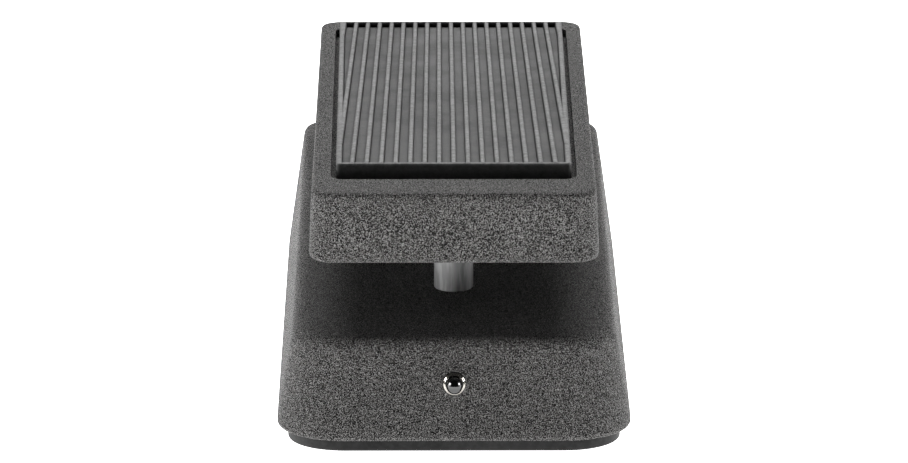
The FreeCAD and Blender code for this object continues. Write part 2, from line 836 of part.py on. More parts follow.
def tread_pad():
    rib_foot = pad_top - rib_height
    base = slab(pad_outline(web_top), rib_foot - web_top)
    low = rib_foot - sunk
    field = slab(pad_outline(low), pad_top - low)
    border = pad_outline(low, -pad_border, pad_border_corner_radius, -pad_border, -pad_border)
    inner = slab(border, pad_top - low)
    frame = field.cut(inner)
    count = int(pad_toe_width / 2 / rib_pitch)
    ribs = []
    for i in range(-count, count + 1):
        x = i * rib_pitch
        rib = box(x - rib_width / 2, x + rib_width / 2, pad_heel_y, pad_toe_y, low, pad_top)
        rib = rib.common(field)
        if rib.Solids:
            ribs.append(rib)
    return base.fuse([frame] + ribs).removeSplitter()


def heel_bumper():
    block = upright(heel_bumper_radius, 0, heel_bumper_y, heel_bumper_face, bumper_boss_face)
    low_rim = [edge for edge in block.Edges if edge.BoundBox.ZMax < heel_bumper_face + 0.01]
    block = block.makeChamfer(bumper_chamfer, low_rim)
    stem_top = web_bottom - stem_hole_cover - stem_end_gap
    stem = upright(heel_bumper_stem_radius, 0, heel_bumper_y, bumper_boss_face, stem_top)
    return block.fuse(stem).removeSplitter()


def toe_pad():
    top = toe_pad_face + toe_pad_thickness
    disc = upright(toe_pad_radius, 0, toe_pad_y, toe_pad_face, top)
    low_rim = [edge for edge in disc.Edges if edge.BoundBox.ZMax < toe_pad_face + 0.01]
    disc = disc.makeFillet(toe_pad_edge_radius, low_rim)
    stem_top = web_top - stem_hole_cover - stem_end_gap
    return disc.fuse(upright(toe_pad_stem_radius, 0, toe_pad_y, top, stem_top)).removeSplitter()


# ---------------------------------------------------------------- axle, bracket, friction block
def axle_bracket():
    half_x = axle_bracket_half_width
    half_y = axle_bracket_half_length
    sheet = axle_bracket_thickness
    foot = box(-half_x, half_x, -half_y, half_y, roof_level, roof_level + sheet)
    walls = []
    for x0 in (-half_x, half_x - sheet):
        points = [
            V(x0, -half_y, roof_level),
            V(x0, half_y, roof_level),
            V(x0, half_y, roof_level + sheet * 2),
            V(x0, axle_bracket_eye_radius, 0),
            V(x0, -axle_bracket_eye_radius, 0),
            V(x0, -half_y, roof_level + sheet * 2),
            V(x0, -half_y, roof_level),
        ]
        wall = Part.Face(Part.makePolygon(points)).extrude(V(sheet, 0, 0))
        walls.append(wall.fuse(across(axle_bracket_eye_radius, x0, x0 + sheet, 0, 0)))
    bracket = foot.fuse(walls).removeSplitter()
    cuts = [across(axle_radius + bush_wall, -half_x - over, half_x + over, 0, 0)]
    for x, y in bracket_screw_places:
        cuts.append(upright(m3_radius + hole_clearance, x, y, roof_level - over, roof_level + sheet + over))
    tension_hole = tension_screw_radius + hole_clearance
    cuts.append(upright(tension_hole, 0, 0, roof_level - over, roof_level + sheet + over))
    return bracket.cut(cuts)


def axle_bushes():
    bore = axle_radius + running_clearance
    bushes = []
    for side in (-1, 1):
        inner_x = axle_bracket_half_width - axle_bracket_thickness
        outer_x = axle_bracket_half_width
        sleeve_x0 = inner_x if side > 0 else -outer_x
        flange_x0 = outer_x if side > 0 else -outer_x - bush_flange_thickness
        sleeve = across(axle_radius + bush_wall, sleeve_x0, sleeve_x0 + axle_bracket_thickness, 0, 0)
        flange = across(bush_flange_radius, flange_x0, flange_x0 + bush_flange_thickness, 0, 0)
        low = min(sleeve_x0, flange_x0)
        high = low + axle_bracket_thickness + bush_flange_thickness
        bush = sleeve.fuse(flange).removeSplitter()
        bushes.append(bush.cut(across(bore, low - over, high + over, 0, 0)))
    return group(bushes)


def axle_pin():
    reach = ear_inner + treadle_ear_thickness + clip_thickness + axle_end
    return across(axle_radius, -reach, reach, 0, 0)


def axle_clips():
    clips = []
    face = ear_inner + treadle_ear_thickness
    for x0 in (face, -face - clip_thickness):
        ring = across(clip_radius, x0, x0 + clip_thickness, 0, 0)
        ring = ring.cut(across(axle_radius, x0, x0 + clip_thickness, 0, 0))
        x1 = x0 + clip_thickness + over
        gap = box(x0 - over, x1, -clip_gap_half_width, clip_gap_half_width, -clip_radius - over, 0)
        clips.append(ring.cut(gap))
    return group(clips)


def bracket_screws():
    length = axle_bracket_thickness + roof_thickness + bracket_screw_proud
    screw = pan_screw(m3_radius, m3_head_radius, m3_head_height, length)
    seat = roof_level + axle_bracket_thickness
    return group([placed(screw, x, y, seat) for x, y in bracket_screw_places])


def friction_block():
    half_x = friction_block_half_width
    half_y = friction_block_half_length
    low = roof_level + axle_bracket_thickness
    block = box(-half_x, half_x, -half_y, half_y, low, -axle_radius * friction_block_top_share)
    return block.cut(across(axle_radius + running_clearance, -half_x - over, half_x + over, 0, 0))


def tension_screw():
    top = roof_level + axle_bracket_thickness
    low = ceiling_level - tension_boss_drop - tension_screw_proud
    radius = tension_screw_radius
    half = tension_slot_half_width
    slot = box(-radius, radius, -half, half, low, low + tension_slot_depth)
    return upright(radius, 0, 0, low, top).cut(slot)


# ---------------------------------------------------------------- rack, pinion, potentiometer
def pinion_outline(x):
    """Involute pinion about the X axis, with a tooth space facing +Y."""
    pressure = math.radians(pressure_angle_deg)
    pitch = pinion_pitch_radius
    base = pitch * math.cos(pressure)
    tip = pitch + gear_module
    root = pitch - 1.25 * gear_module
    half_tooth = math.pi / 2 / pinion_teeth - tooth_backlash / 2 / pitch
    involute_at_pitch = math.tan(pressure) - pressure

    def flank_angle(radius):
        angle = math.acos(min(1.0, base / radius))
        return half_tooth + involute_at_pitch - (math.tan(angle) - angle)

    steps = 5
    radii = [base + (tip - base) * i / steps for i in range(steps + 1)]
    points = []
    for tooth in range(pinion_teeth):
        centre = (tooth + 0.5) * 2 * math.pi / pinion_teeth
        left = [(root, flank_angle(base))] + [(radius, flank_angle(radius)) for radius in radii]
        for radius, angle in left:
            points.append((radius, centre - angle))
        for radius, angle in reversed(left):
            points.append((radius, centre + angle))
    corners = [V(x, radius * math.cos(a), radius * math.sin(a)) for radius, a in points]
    return Part.makePolygon(corners + corners[:1])


def pinion():
    x0 = rack_x - rack_width / 2 - pinion_extra_width / 2
    width = rack_width + pinion_extra_width
    wheel = Part.Face(pinion_outline(x0)).extrude(V(width, 0, 0))
    hub_end = x0 + width + pinion_hub_length
    hub = across(pinion_pitch_radius - pinion_hub_inset * gear_module, x0 + width, hub_end, 0, 0)
    wheel = wheel.fuse(hub).removeSplitter()
    wheel = wheel.cut(across(pot_shaft_radius, x0 - over, hub_end + over, 0, 0))
    return placed(wheel, 0, pinion_y, pot_level)


def rack():
    """Toothed bar along the roof's normal, with an eye for the treadle's pin at its top."""
    pitch = math.pi * gear_module
    slope = math.tan(math.radians(pressure_angle_deg))
    half_thickness = pitch / 4 - tooth_backlash / 4
    root_y = rack_pitch_y + 1.25 * gear_module
    tip_y = rack_pitch_y - rack_addendum
    half_width = rack_width / 2
    x0 = rack_x - half_width
    low = pot_level - rack_teeth_below
    bar = box(x0, x0 + rack_width, root_y, rack_back_y, low, rack_pin_height)
    eye = across(rack_eye_radius, x0, x0 + rack_width, rack_arm, rack_pin_height)
    pieces = [bar, eye]
    first = math.ceil((low - pot_level + half_thickness) / pitch + rack_end_margin)
    last = int(rack_teeth_above / pitch)
    for i in range(first, last + 1):
        z = pot_level + i * pitch
        at_root = half_thickness + slope * (root_y - rack_pitch_y)
        at_tip = half_thickness - slope * rack_addendum
        points = [
            V(x0, root_y + sunk, z - at_root),
            V(x0, root_y, z - at_root),
            V(x0, tip_y, z - at_tip),
            V(x0, tip_y, z + at_tip),
            V(x0, root_y, z + at_root),
            V(x0, root_y + sunk, z + at_root),
            V(x0, root_y + sunk, z - at_root),
        ]
        pieces.append(Part.Face(Part.makePolygon(points)).extrude(V(rack_width, 0, 0)))
    body = pieces[0].fuse(pieces[1:]).removeSplitter()
    bore = rack_pin_radius + rack_eye_clearance
    return body.cut(across(bore, x0 - over, x0 + rack_width + over, rack_arm, rack_pin_height))


def rack_pin():
    reach = rack_ear_inner + rack_ear_thickness + rack_pin_proud
    return across(rack_pin_radius, rack_x - reach, rack_x + reach, lug_pin_y, lug_pin_z)


guide_y = rack_back_y + guide_clearance
guide_mid = pot_level + guide_rise
bracket_face = pot_bracket_x + pot_bracket_thickness


def pot_bracket():
    sheet = pot_bracket_thickness
    low = pot_level - pot_body_radius - pot_bracket_edge
    plate = box(pot_bracket_x, bracket_face, pot_flange_y, guide_y + guide_thickness, low, ceiling_level)
    flange = box(
        bracket_face - pot_flange_width,
        bracket_face,
        pot_flange_y,
        pot_flange_y + pot_flange_length,
        ceiling_level - sheet,
        ceiling_level,
    )
    bracket = plate.fuse(flange).removeSplitter()
    x0 = pot_bracket_x - over
    x1 = bracket_face + over
    cuts = [
        across(pot_bush_radius + hole_clearance, x0, x1, pinion_y, pot_level),
        across(m25_radius + hole_clearance, x0, x1, guide_y + guide_thickness / 2, guide_mid),
    ]
    hole = m3_radius + hole_clearance
    for x, y in pot_screw_places:
        cuts.append(upright(hole, x, y, ceiling_level - sheet - over, ceiling_level + over))
    return bracket.cut(cuts)


def pot_bracket_screws():
    length = pot_bracket_thickness + roof_thickness - pot_screw_end_gap
    screw = pan_screw(m3_radius, m3_head_radius, m3_head_height, length)
    seat = ceiling_level - pot_bracket_thickness
    return group([placed(screw, x, y, seat, flip=True) for x, y in pot_screw_places])


def rack_guide():
    x1 = rack_x + rack_width / 2 + guide_side_margin
    half = guide_height / 2
    block = box(bracket_face, x1, guide_y, guide_y + guide_thickness, guide_mid - half, guide_mid + half)
    cheek_x0 = bracket_face
    cheek_x1 = rack_x - rack_width / 2 - pinion_extra_width / 2 - body_gap
    cheek_x1 = min(cheek_x1, cheek_x0 + guide_cheek_thickness)
    cheek = box(cheek_x0, cheek_x1, guide_y - guide_cheek_reach, guide_y, guide_mid - half, guide_mid + half)
    block = block.fuse(cheek).removeSplitter()
    hole_end = bracket_face + guide_screw_bite + over
    hole_y = guide_y + guide_thickness / 2
    return block.cut(across(m25_radius + thread_gap, bracket_face - over, hole_end, hole_y, guide_mid))


def rack_guide_screw():
    screw = pan_screw(m25_radius, m25_head_radius, m25_head_height, pot_bracket_thickness + guide_screw_bite)
    turn = FreeCAD.Placement(
        V(pot_bracket_x, guide_y + guide_thickness / 2, guide_mid), FreeCAD.Rotation(V(0, 1, 0), -90)
    )
    return framed(screw, turn)


def pot_body():
    can = across(pot_body_radius, pot_bracket_x - pot_body_length, pot_bracket_x, pinion_y, pot_level)
    bush = across(pot_bush_radius, pot_bracket_x, bracket_face + pot_bush_length, pinion_y, pot_level)
    lugs = []
    low = pot_level - pot_body_radius - pot_lug_length
    x0 = pot_bracket_x - pot_lug_from_face
    x1 = x0 + pot_lug_thickness
    for i in (-1, 0, 1):
        y = pinion_y + i * pot_lug_pitch
        root_z = pot_level - pot_body_radius * pot_lug_root_share
        lugs.append(box(x0, x1, y - pot_lug_half_width, y + pot_lug_half_width, low, root_z))
    body = can.fuse([bush] + lugs).removeSplitter()
    socket = pot_bracket_x - pot_shaft_seat
    mouth = bracket_face + pot_bush_length + over
    return body.cut(across(pot_shaft_radius + running_clearance, socket, mouth, pinion_y, pot_level))


def pot_nut():
    nut = hexagon(pot_nut_across_flats, pot_nut_thickness, 0, pot_bush_radius + thread_gap)
    along_x = FreeCAD.Rotation(V(0, 1, 0), 90)
    x0 = bracket_face + pot_washer_thickness
    return framed(nut, FreeCAD.Placement(V(x0, pinion_y, pot_level), along_x))


def pot_washer():
    disc = across(pot_washer_radius, bracket_face, bracket_face + pot_washer_thickness, pinion_y, pot_level)
    hole = across(pot_bush_radius + hole_clearance, bracket_face, bracket_face + over, pinion_y, pot_level)
    return disc.cut(hole)


def pot_shaft():
    x0 = pot_bracket_x - pot_shaft_seat + pot_shaft_end_gap
    x1 = rack_x + rack_width / 2 + pinion_extra_width / 2 + pot_shaft_proud
    return across(pot_shaft_radius, x0, x1, pinion_y, pot_level)


# ---------------------------------------------------------------- footswitch
def footswitch_body():
    low = footswitch_low
    case = box(
        -footswitch_half_width,
        footswitch_half_width,
        footswitch_y - footswitch_half_length,
        footswitch_y + footswitch_half_length,
        low,
        footswitch_shoulder,
    )
    bush_top = roof_level + footswitch_bush_rise
    bush = upright(footswitch_bush_radius, 0, footswitch_y, footswitch_shoulder, bush_top)
    rim = [edge for edge in bush.Edges if edge.BoundBox.ZMin > bush_top - 0.01]
    bush = bush.makeChamfer(footswitch_rim_chamfer, rim)
    lugs = []
    for x in (-footswitch_lug_x, 0, footswitch_lug_x):
        for y in (-footswitch_lug_y, 0, footswitch_lug_y):
            lugs.append(lug(lug_half_width, low - footswitch_lug_length, low, x, footswitch_y + y))
    body = case.fuse([bush] + lugs).removeSplitter()
    bore_low = footswitch_shoulder - footswitch_bush_depth
    return body.cut(upright(plunger_radius + running_clearance, 0, footswitch_y, bore_low, bush_top + over))


def footswitch_nuts():
    nut = hexagon(
        footswitch_nut_across_flats, footswitch_nut_thickness, 0, footswitch_bush_radius + thread_gap
    )
    seat = roof_level + footswitch_washer_thickness
    return group([placed(nut, 0, footswitch_y, seat), placed(nut, 0, footswitch_y, footswitch_shoulder)])


def footswitch_washer():
    bore = footswitch_bush_radius + hole_clearance
    ring = washer(footswitch_washer_radius, bore, roof_level, footswitch_washer_thickness)
    return placed(ring, 0, footswitch_y)


def footswitch_plunger():
    low = footswitch_shoulder - footswitch_bush_depth + plunger_travel + plunger_end_gap
    button = upright(plunger_radius, 0, footswitch_y, low, plunger_top)
    rim = [edge for edge in button.Edges if edge.BoundBox.ZMin > plunger_top - 0.01]
    return button.makeFillet(plunger_edge_radius, rim)


# ---------------------------------------------------------------- jacks
def jack_body():
    """Jack for a 6.35 mm plug in its wall frame: +Z out of the wall, +Y down."""
    shoulder = -wall_thickness - jack_shoulder_gap
    half_x = jack_body_width / 2
    half_y = jack_body_height / 2
    case = box(-half_x, half_x, -half_y, half_y, shoulder - jack_body_length, shoulder)
    bush = upright(jack_bush_radius, 0, 0, shoulder, jack_bush_proud)
    rim = [edge for edge in bush.Edges if edge.BoundBox.ZMin > jack_bush_proud - 0.01]
    bush = bush.makeChamfer(jack_rim_chamfer, rim)
    low = shoulder - jack_body_length
    lugs = [lug(jack_lug_half_width, low - jack_lug_length, low, x) for x in (-jack_lug_x, jack_lug_x)]
    body = case.fuse([bush] + lugs).removeSplitter()
    return body.cut(upright(jack_bore_radius, 0, 0, low + jack_back_wall, jack_bush_proud + over))


both_jack_frames = [jack_frame(side * jack_spacing / 2) for side in (-1, 1)]


def jack_nuts():
    bore = jack_bush_radius + thread_gap
    nut = hexagon(jack_nut_across_flats, jack_nut_thickness, jack_washer_thickness, bore)
    return group([framed(nut, frame) for frame in both_jack_frames])


def jack_washers():
    ring = washer(jack_washer_radius, jack_bush_radius + hole_clearance, 0, jack_washer_thickness)
    return group([framed(ring, frame) for frame in both_jack_frames])


def power_jack_body():
    inner = -wall_thickness
    low = inner - power_jack_body_length
    tube = upright(power_jack_radius, 0, 0, low + power_jack_tube_end, power_jack_proud)
    flange = upright(power_jack_flange_radius, 0, 0, 0, power_jack_flange_thickness)
    back = upright(power_jack_body_radius, 0, 0, low, inner - power_jack_nut_thickness - power_jack_nut_gap)
    tips = low - power_jack_lug_length
    lugs = [lug(lug_half_width, tips, low, x) for x in (-power_jack_lug_x, power_jack_lug_x)]
    body = tube.fuse([flange, back] + lugs).removeSplitter()
    bore_low = power_jack_proud - power_jack_bore_depth
    body = body.cut(upright(power_jack_bore_radius, 0, 0, bore_low, power_jack_proud + over))
    return body.cut(upright(power_jack_pin_radius, 0, 0, bore_low - power_jack_pin_root, bore_low))


def power_jack_pin():
    bore_low = power_jack_proud - power_jack_bore_depth
    top = power_jack_proud - power_jack_pin_set_back
    pin = upright(power_jack_pin_radius, 0, 0, bore_low - power_jack_pin_root, top)
    tip = [edge for edge in pin.Edges if edge.BoundBox.ZMin > top - 0.01]
    return pin.makeFillet(power_jack_pin_tip_radius, tip)


def power_jack_nut():
    low = -wall_thickness - power_jack_nut_thickness
    return hexagon(power_jack_nut_across_flats, power_jack_nut_thickness, low, power_jack_radius + thread_gap)


# ---------------------------------------------------------------- lever switch in the heel wall
def lever_case():
    """Lever switch in its wall frame: +Z out of the wall."""
    shoulder = -wall_thickness - lever_nut_thickness
    half_x = lever_body_width / 2
    half_y = lever_body_height / 2
    case = box(-half_x, half_x, -half_y, half_y, shoulder - lever_body_depth, shoulder)
    lugs = []
    low = shoulder - lever_body_depth
    for x in (-lever_lug_pitch, 0, lever_lug_pitch):
        lugs.append(lug(lever_lug_half_width, low - lever_lug_length, low, x))
    room_x = lever_room_half_width
    room_y = lever_room_half_height
    room = box(-room_x, room_x, -room_y, room_y, shoulder - lever_room_depth, shoulder + over)
    return case.fuse(lugs).removeSplitter().cut(room)


def lever_bush():
    shoulder = -wall_thickness - lever_nut_thickness
    tube = upright(lever_bush_radius, 0, 0, shoulder, lever_bush_proud)
    rim = [edge for edge in tube.Edges if edge.BoundBox.ZMin > lever_bush_proud - 0.01]
    tube = tube.makeChamfer(lever_bush_radius - lever_bush_rim_radius, rim)
    pivot = lever_bush_proud - lever_pivot_depth
    mouth = Part.makeCone(lever_throat_radius, lever_bush_bore_radius, lever_pivot_depth, V(0, 0, pivot))
    throat = Part.makeCone(lever_bush_bore_radius, lever_throat_radius, pivot - shoulder, V(0, 0, shoulder))
    return tube.cut([mouth, throat])


def lever_nut():
    low = -wall_thickness - lever_nut_thickness
    return hexagon(lever_nut_across_flats, lever_nut_thickness, low, lever_bush_radius + thread_gap)


def lever():
    pivot = lever_bush_proud - lever_pivot_depth
    ball_z = lever_bush_proud + lever_ball_reach
    stem = upright(lever_rod_radius, 0, 0, pivot - lever_tail, ball_z)
    neck_radius = lever_rod_radius * lever_neck_share
    neck = Part.makeCone(lever_rod_radius, neck_radius, lever_ball_reach, V(0, 0, lever_bush_proud))
    ball = Part.makeSphere(lever_ball_radius, V(0, 0, ball_z))
    return stem.fuse([neck, ball]).removeSplitter()


# ---------------------------------------------------------------- circuit board and battery
board_top = ceiling_level - board_drop
board_bottom = board_top - board_thickness


def circuit_board():
    board = box(board_x[0], board_x[1], board_y[0], board_y[1], board_bottom, board_top)
    hole = m3_radius + hole_clearance
    holes = [upright(hole, x, y, board_bottom - over, board_top + over) for x, y in board_screw_places()]
    return board.cut(holes)


def board_screws():
    screw = pan_screw(m3_radius, m3_head_radius, m3_head_height, board_thickness + board_screw_bite)
    return group([placed(screw, x, y, board_bottom, flip=True) for x, y in board_screw_places()])


def hung(radius, height, x, y):
    """Can under the board, with y from the board's toe edge."""
    y += board_y[1]
    return upright(radius, x, y, board_bottom - height, board_bottom)


def hung_box(half_x, half_y, height, x, y):
    y += board_y[1]
    return box(x - half_x, x + half_x, y - half_y, y + half_y, board_bottom - height, board_bottom)


def inductor():
    """Cup core: a can with a shallow recess in the middle of its lower face."""
    core = hung(inductor_radius, inductor_height, *inductor_place)
    recess = hung(inductor_recess_radius, inductor_height, *inductor_place)
    left_under = hung(inductor_recess_radius, inductor_height - inductor_recess_depth, *inductor_place)
    return core.cut(recess.cut(left_under))


def electrolytic_capacitors():
    return group([hung(electrolytic_radius, electrolytic_height, x, y) for x, y in electrolytic_places])


def film_capacitors():
    return group([hung_box(film_half_length, film_half_width, film_height, x, y) for x, y in film_places])


def transistors():
    cans = []
    reach = transistor_radius + over
    for x, y in transistor_places:
        can = hung(transistor_radius, transistor_height, x, y)
        flat = hung_box(reach, reach, transistor_height, x, y + transistor_flat + reach)
        cans.append(can.cut(flat))
    return group(cans)


def resistors():
    bodies = []
    z = board_bottom - resistor_radius
    for x, first_y, count in resistor_rows:
        for i in range(count):
            y = board_y[1] + first_y + resistor_pitch * i
            bodies.append(across(resistor_radius, x - resistor_half_length, x + resistor_half_length, y, z))
    return group(bodies)


def lead_headers():
    headers = []
    low = board_bottom - header_height
    for x, y in [(x, header_y) for x in header_xs] + [(heel_header_x, heel_header_y)]:
        half = header_half_width
        headers.append(box(x, x + header_length, y - half, y + half, low, board_bottom))
    return group(headers)


battery_low = plate_top + battery_pad_thickness


def battery():
    y0 = battery_end_y - battery_length
    x1 = battery_x + battery_width
    can = box(battery_x, x1, y0, battery_end_y, battery_low, battery_low + battery_height)
    long_edges = [edge for edge in can.Edges if edge.BoundBox.YLength > battery_length * 0.9]
    return can.makeFillet(battery_edge_radius, long_edges)


def battery_pad():
    y0 = battery_end_y - battery_length
    inset = battery_pad_inset
    return box(
        battery_x + inset,
        battery_x + battery_width - inset,
        y0 + inset,
        battery_end_y - inset,
        plate_top,
        battery_low,
    )


def battery_snap():
    mid_x = battery_x + battery_width / 2
    mid_z = battery_low + battery_height / 2
    low_x = mid_x - snap_half_width
    high_x = mid_x + snap_half_width
    low_z = mid_z - snap_half_height
    high_z = mid_z + snap_half_height
    shell = box(low_x, high_x, battery_end_y, battery_end_y + snap_thickness, low_z, high_z)
    upright_edges = [edge for edge in shell.Edges if edge.BoundBox.YLength > snap_thickness * 0.9]
    return shell.makeFillet(snap_corner_radius, upright_edges)


# ---------------------------------------------------------------- leads
def lead(points, radius=lead_radius):
    """Round lead through the points: straight runs joined by tangent arcs as large as the runs allow."""
    runs = [points[i + 1] - points[i] for i in range(len(points) - 1)]
    edges = []
    start = points[0]
    for i in range(1, len(points) - 1):
        before = runs[i - 1]
        after = runs[i]
        turn = before.getAngle(after)
        setback = 0.45 * min(before.Length, after.Length)
        bend = setback / math.tan(turn / 2)
        into = V(before).normalize()
        out = V(after).normalize()
        arc_start = points[i] - into * setback
        arc_end = points[i] + out * setback
        bisector = (out - into).normalize()
        middle = points[i] + bisector * (bend / math.cos(turn / 2) - bend)
        edges.append(Part.LineSegment(start, arc_start).toShape())
        edges.append(Part.Arc(arc_start, middle, arc_end).toShape())
        start = arc_end
    edges.append(Part.LineSegment(start, points[-1]).toShape())
    path = Part.Wire(edges)
    profile = Part.Wire(Part.makeCircle(radius, points[0], runs[0]))
    tube = path.makePipeShell([profile], True, False)
    print("lead length", round(path.Length, 1), "volume over section x length",
          round(tube.Volume / (math.pi * radius ** 2 * path.Length), 4))
    return tube


def from_tip(frame, x, y, z, straight):
    """First two points of a lead that leaves a tip at (x, y, z) of a frame along its -Z."""
    return [frame.multVec(V(x, y, z)), frame.multVec(V(x, y, z - straight))]


def to_header(x, y, straight):
    """Last two points of a lead that comes up into a header on the board."""
    level = board_bottom - header_height
    return [roof_frame.multVec(V(x, y, level - straight)), roof_frame.multVec(V(x, y, level))]


def battery_leads():
    start_y = battery_end_y + snap_thickness
    leads = []
    for i, x in enumerate((-21.5, -15.5)):
        start = [V(x, start_y, 13.0), V(x, start_y + 8.0 - i * 2.0, 13.0)]
        middle = [V(x + 9.0, start_y + 12.5 - i * 2.5, 8.6)]
        leads.append(lead(start + middle + to_header(0.3 + i * 1.5, header_y + 0.5 - i * 1.0, 5.5)))
    return group(leads)


def jack_leads():
    tip = -wall_thickness - jack_shoulder_gap - jack_body_length - jack_lug_length
    output = from_tip(jack_frame(-jack_spacing / 2), jack_lug_x, 0, tip, 5.0)
    output += [V(-12.5, 52.0, 8.0), V(-9.0, 36.0, 7.0), V(-2.5, 21.0, 7.2)]
    supply = from_tip(jack_frame(jack_spacing / 2), jack_lug_x, 0, tip, 5.0)
    supply += [V(30.5, 54.0, 9.0), V(30.0, 38.0, 8.0), V(24.0, 23.0, 8.5)]
    output += to_header(3.3, header_y, 5.0)
    supply += to_header(19.0, header_y, 5.0)
    return group([lead(output), lead(supply)])


def footswitch_leads():
    tip = footswitch_shoulder - footswitch_body_height - footswitch_lug_length
    leads = []
    for i, x in enumerate((-footswitch_lug_x, 0.0)):
        start = from_tip(roof_frame, x, footswitch_y - footswitch_lug_y, tip, 2.6)
        middle = [V(-3.0 + i * 5.2, 55.0, 6.4), V(1.5 + i * 3.0, 38.0, 6.2), V(4.8 + i * 1.8, 23.0, 6.6)]
        leads.append(lead(start + middle + to_header(4.8 + i * 1.5, header_y, 4.6)))
    return group(leads)


def voice_switch_leads():
    tip = -wall_thickness - lever_nut_thickness - lever_body_depth - lever_lug_length
    leads = []
    for i, x in enumerate((0.0, lever_lug_pitch)):
        start = from_tip(heel_switch_frame, x, 0, tip, 4.5)
        middle = [V(6.5 + i * 3.4, -68.0, 7.0)]
        leads.append(lead(start + middle + to_header(11.6 + i * 4.0, heel_header_y, 3.2)))
    return group(leads)


def pot_leads():
    tip = pot_level - pot_body_radius - pot_lug_length
    leads = []
    lug_x = pot_bracket_x - pot_lug_from_face + pot_lug_thickness / 2
    for i, offset in enumerate((-pot_lug_pitch, pot_lug_pitch)):
        start = from_tip(roof_frame, lug_x, pinion_y + offset, tip, 2.3 - i * 0.3)
        middle = [V(11.0 + i * 4.0, 29.0, 6.4)]
        leads.append(lead(start + middle + to_header(13.4 + i * 3.4, header_y - 0.8, 4.2)))
    return group(leads)


def write(name, shape):
    if not shape.isValid():
        print("not valid:", name)
    shape.exportStep("parts/%s.step" % name)


own_frame = FreeCAD.Placement()

# Each piece's builder, by the frame that it is drawn in
pieces = (
    (own_frame, (
        ("housing_casting", housing_casting),
        ("base_plate", base_plate),
        ("base_mat", base_mat),
        ("base_screws", base_screws),
        ("battery", battery),
        ("battery_pad", battery_pad),
        ("battery_snap", battery_snap),
        ("battery_leads", battery_leads),
        ("jack_leads", jack_leads),
        ("footswitch_leads", footswitch_leads),
        ("voice_switch_leads", voice_switch_leads),
        ("pot_leads", pot_leads),
        ("jack_nuts", jack_nuts),
        ("jack_washers", jack_washers),
    )),
    (roof_frame, (
        ("axle_bracket", axle_bracket),
        ("axle_bracket_screws", bracket_screws),
        ("axle_bushes", axle_bushes),
        ("friction_block", friction_block),
        ("tension_screw", tension_screw),
        ("rack", rack),
        ("pinion", pinion),
        ("pot_bracket", pot_bracket),
        ("pot_bracket_screws", pot_bracket_screws),
        ("rack_guide", rack_guide),
        ("rack_guide_screw", rack_guide_screw),
        ("pot_body", pot_body),
        ("pot_nut", pot_nut),
        ("pot_washer", pot_washer),
        ("pot_shaft", pot_shaft),
        ("footswitch_body", footswitch_body),
        ("footswitch_nuts", footswitch_nuts),
        ("footswitch_washer", footswitch_washer),
        ("footswitch_plunger", footswitch_plunger),
        ("circuit_board", circuit_board),
        ("board_screws", board_screws),
        ("inductor", inductor),
        ("electrolytic_capacitors", electrolytic_capacitors),
        ("film_capacitors", film_capacitors),
        ("transistors", transistors),
        ("resistors", resistors),
        ("lead_headers", lead_headers),
    )),
    (treadle_frame, (
        ("treadle_casting", treadle_casting),
        ("tread_pad", tread_pad),
        ("heel_bumper", heel_bumper),
        ("toe_pad", toe_pad),
        ("axle_pin", axle_pin),
        ("axle_clips", axle_clips),
        ("rack_pin", rack_pin),
    )),
    (both_jack_frames[1], (("input_jack", jack_body),)),
    (both_jack_frames[0], (("output_jack", jack_body),)),
    (power_frame, (
        ("power_jack", power_jack_body),
        ("power_jack_pin", power_jack_pin),
        ("power_jack_nut", power_jack_nut),
    )),
    (heel_switch_frame, (
        ("voice_switch_case", lever_case),
        ("voice_switch_bush", lever_bush),
        ("voice_switch_nut", lever_nut),
        ("voice_switch_lever", lever),
    )),
)


def main():
    os.makedirs("parts", exist_ok=True)
    for frame, builders in pieces:
        for name, build in builders:
            write(name, framed(build(), frame))


main()
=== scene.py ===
import json
import math

import bmesh
import bpy
from mathutils import Matrix, Vector


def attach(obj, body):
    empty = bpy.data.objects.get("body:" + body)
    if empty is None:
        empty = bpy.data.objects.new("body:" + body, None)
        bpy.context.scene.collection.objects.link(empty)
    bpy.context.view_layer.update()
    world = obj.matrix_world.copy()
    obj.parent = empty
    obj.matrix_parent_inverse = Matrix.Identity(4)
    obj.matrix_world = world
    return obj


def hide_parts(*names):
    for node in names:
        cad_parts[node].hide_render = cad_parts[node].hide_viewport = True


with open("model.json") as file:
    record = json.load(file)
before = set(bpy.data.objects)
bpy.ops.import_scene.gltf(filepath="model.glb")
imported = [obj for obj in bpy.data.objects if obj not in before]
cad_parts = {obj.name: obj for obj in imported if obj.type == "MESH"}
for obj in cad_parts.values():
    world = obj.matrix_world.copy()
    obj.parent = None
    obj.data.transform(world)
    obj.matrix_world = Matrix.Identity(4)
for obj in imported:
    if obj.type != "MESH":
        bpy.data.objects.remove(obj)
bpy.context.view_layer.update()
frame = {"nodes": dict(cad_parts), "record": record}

MM = 0.001

# ---------------------------------------------------------------- camera
# A long lens at table height plus a hand, looking down the treadle from the heel
CAMERA_PLACE = (-0.00314, -0.71362, 0.17854)
CAMERA_PITCH = 0.21
CAMERA_YAW = 0.005
CAMERA_LENS = 119.71


def make_camera():
    data = bpy.data.cameras.new("pedal_camera")
    data.lens = CAMERA_LENS
    data.sensor_width = 36.0
    data.clip_start = 0.05
    data.clip_end = 30.0
    camera = bpy.data.objects.new("pedal_camera", data)
    camera.location = CAMERA_PLACE
    camera.rotation_euler = (math.pi / 2 - CAMERA_PITCH, 0.0, -CAMERA_YAW)
    bpy.context.collection.objects.link(camera)
    bpy.context.scene.camera = camera


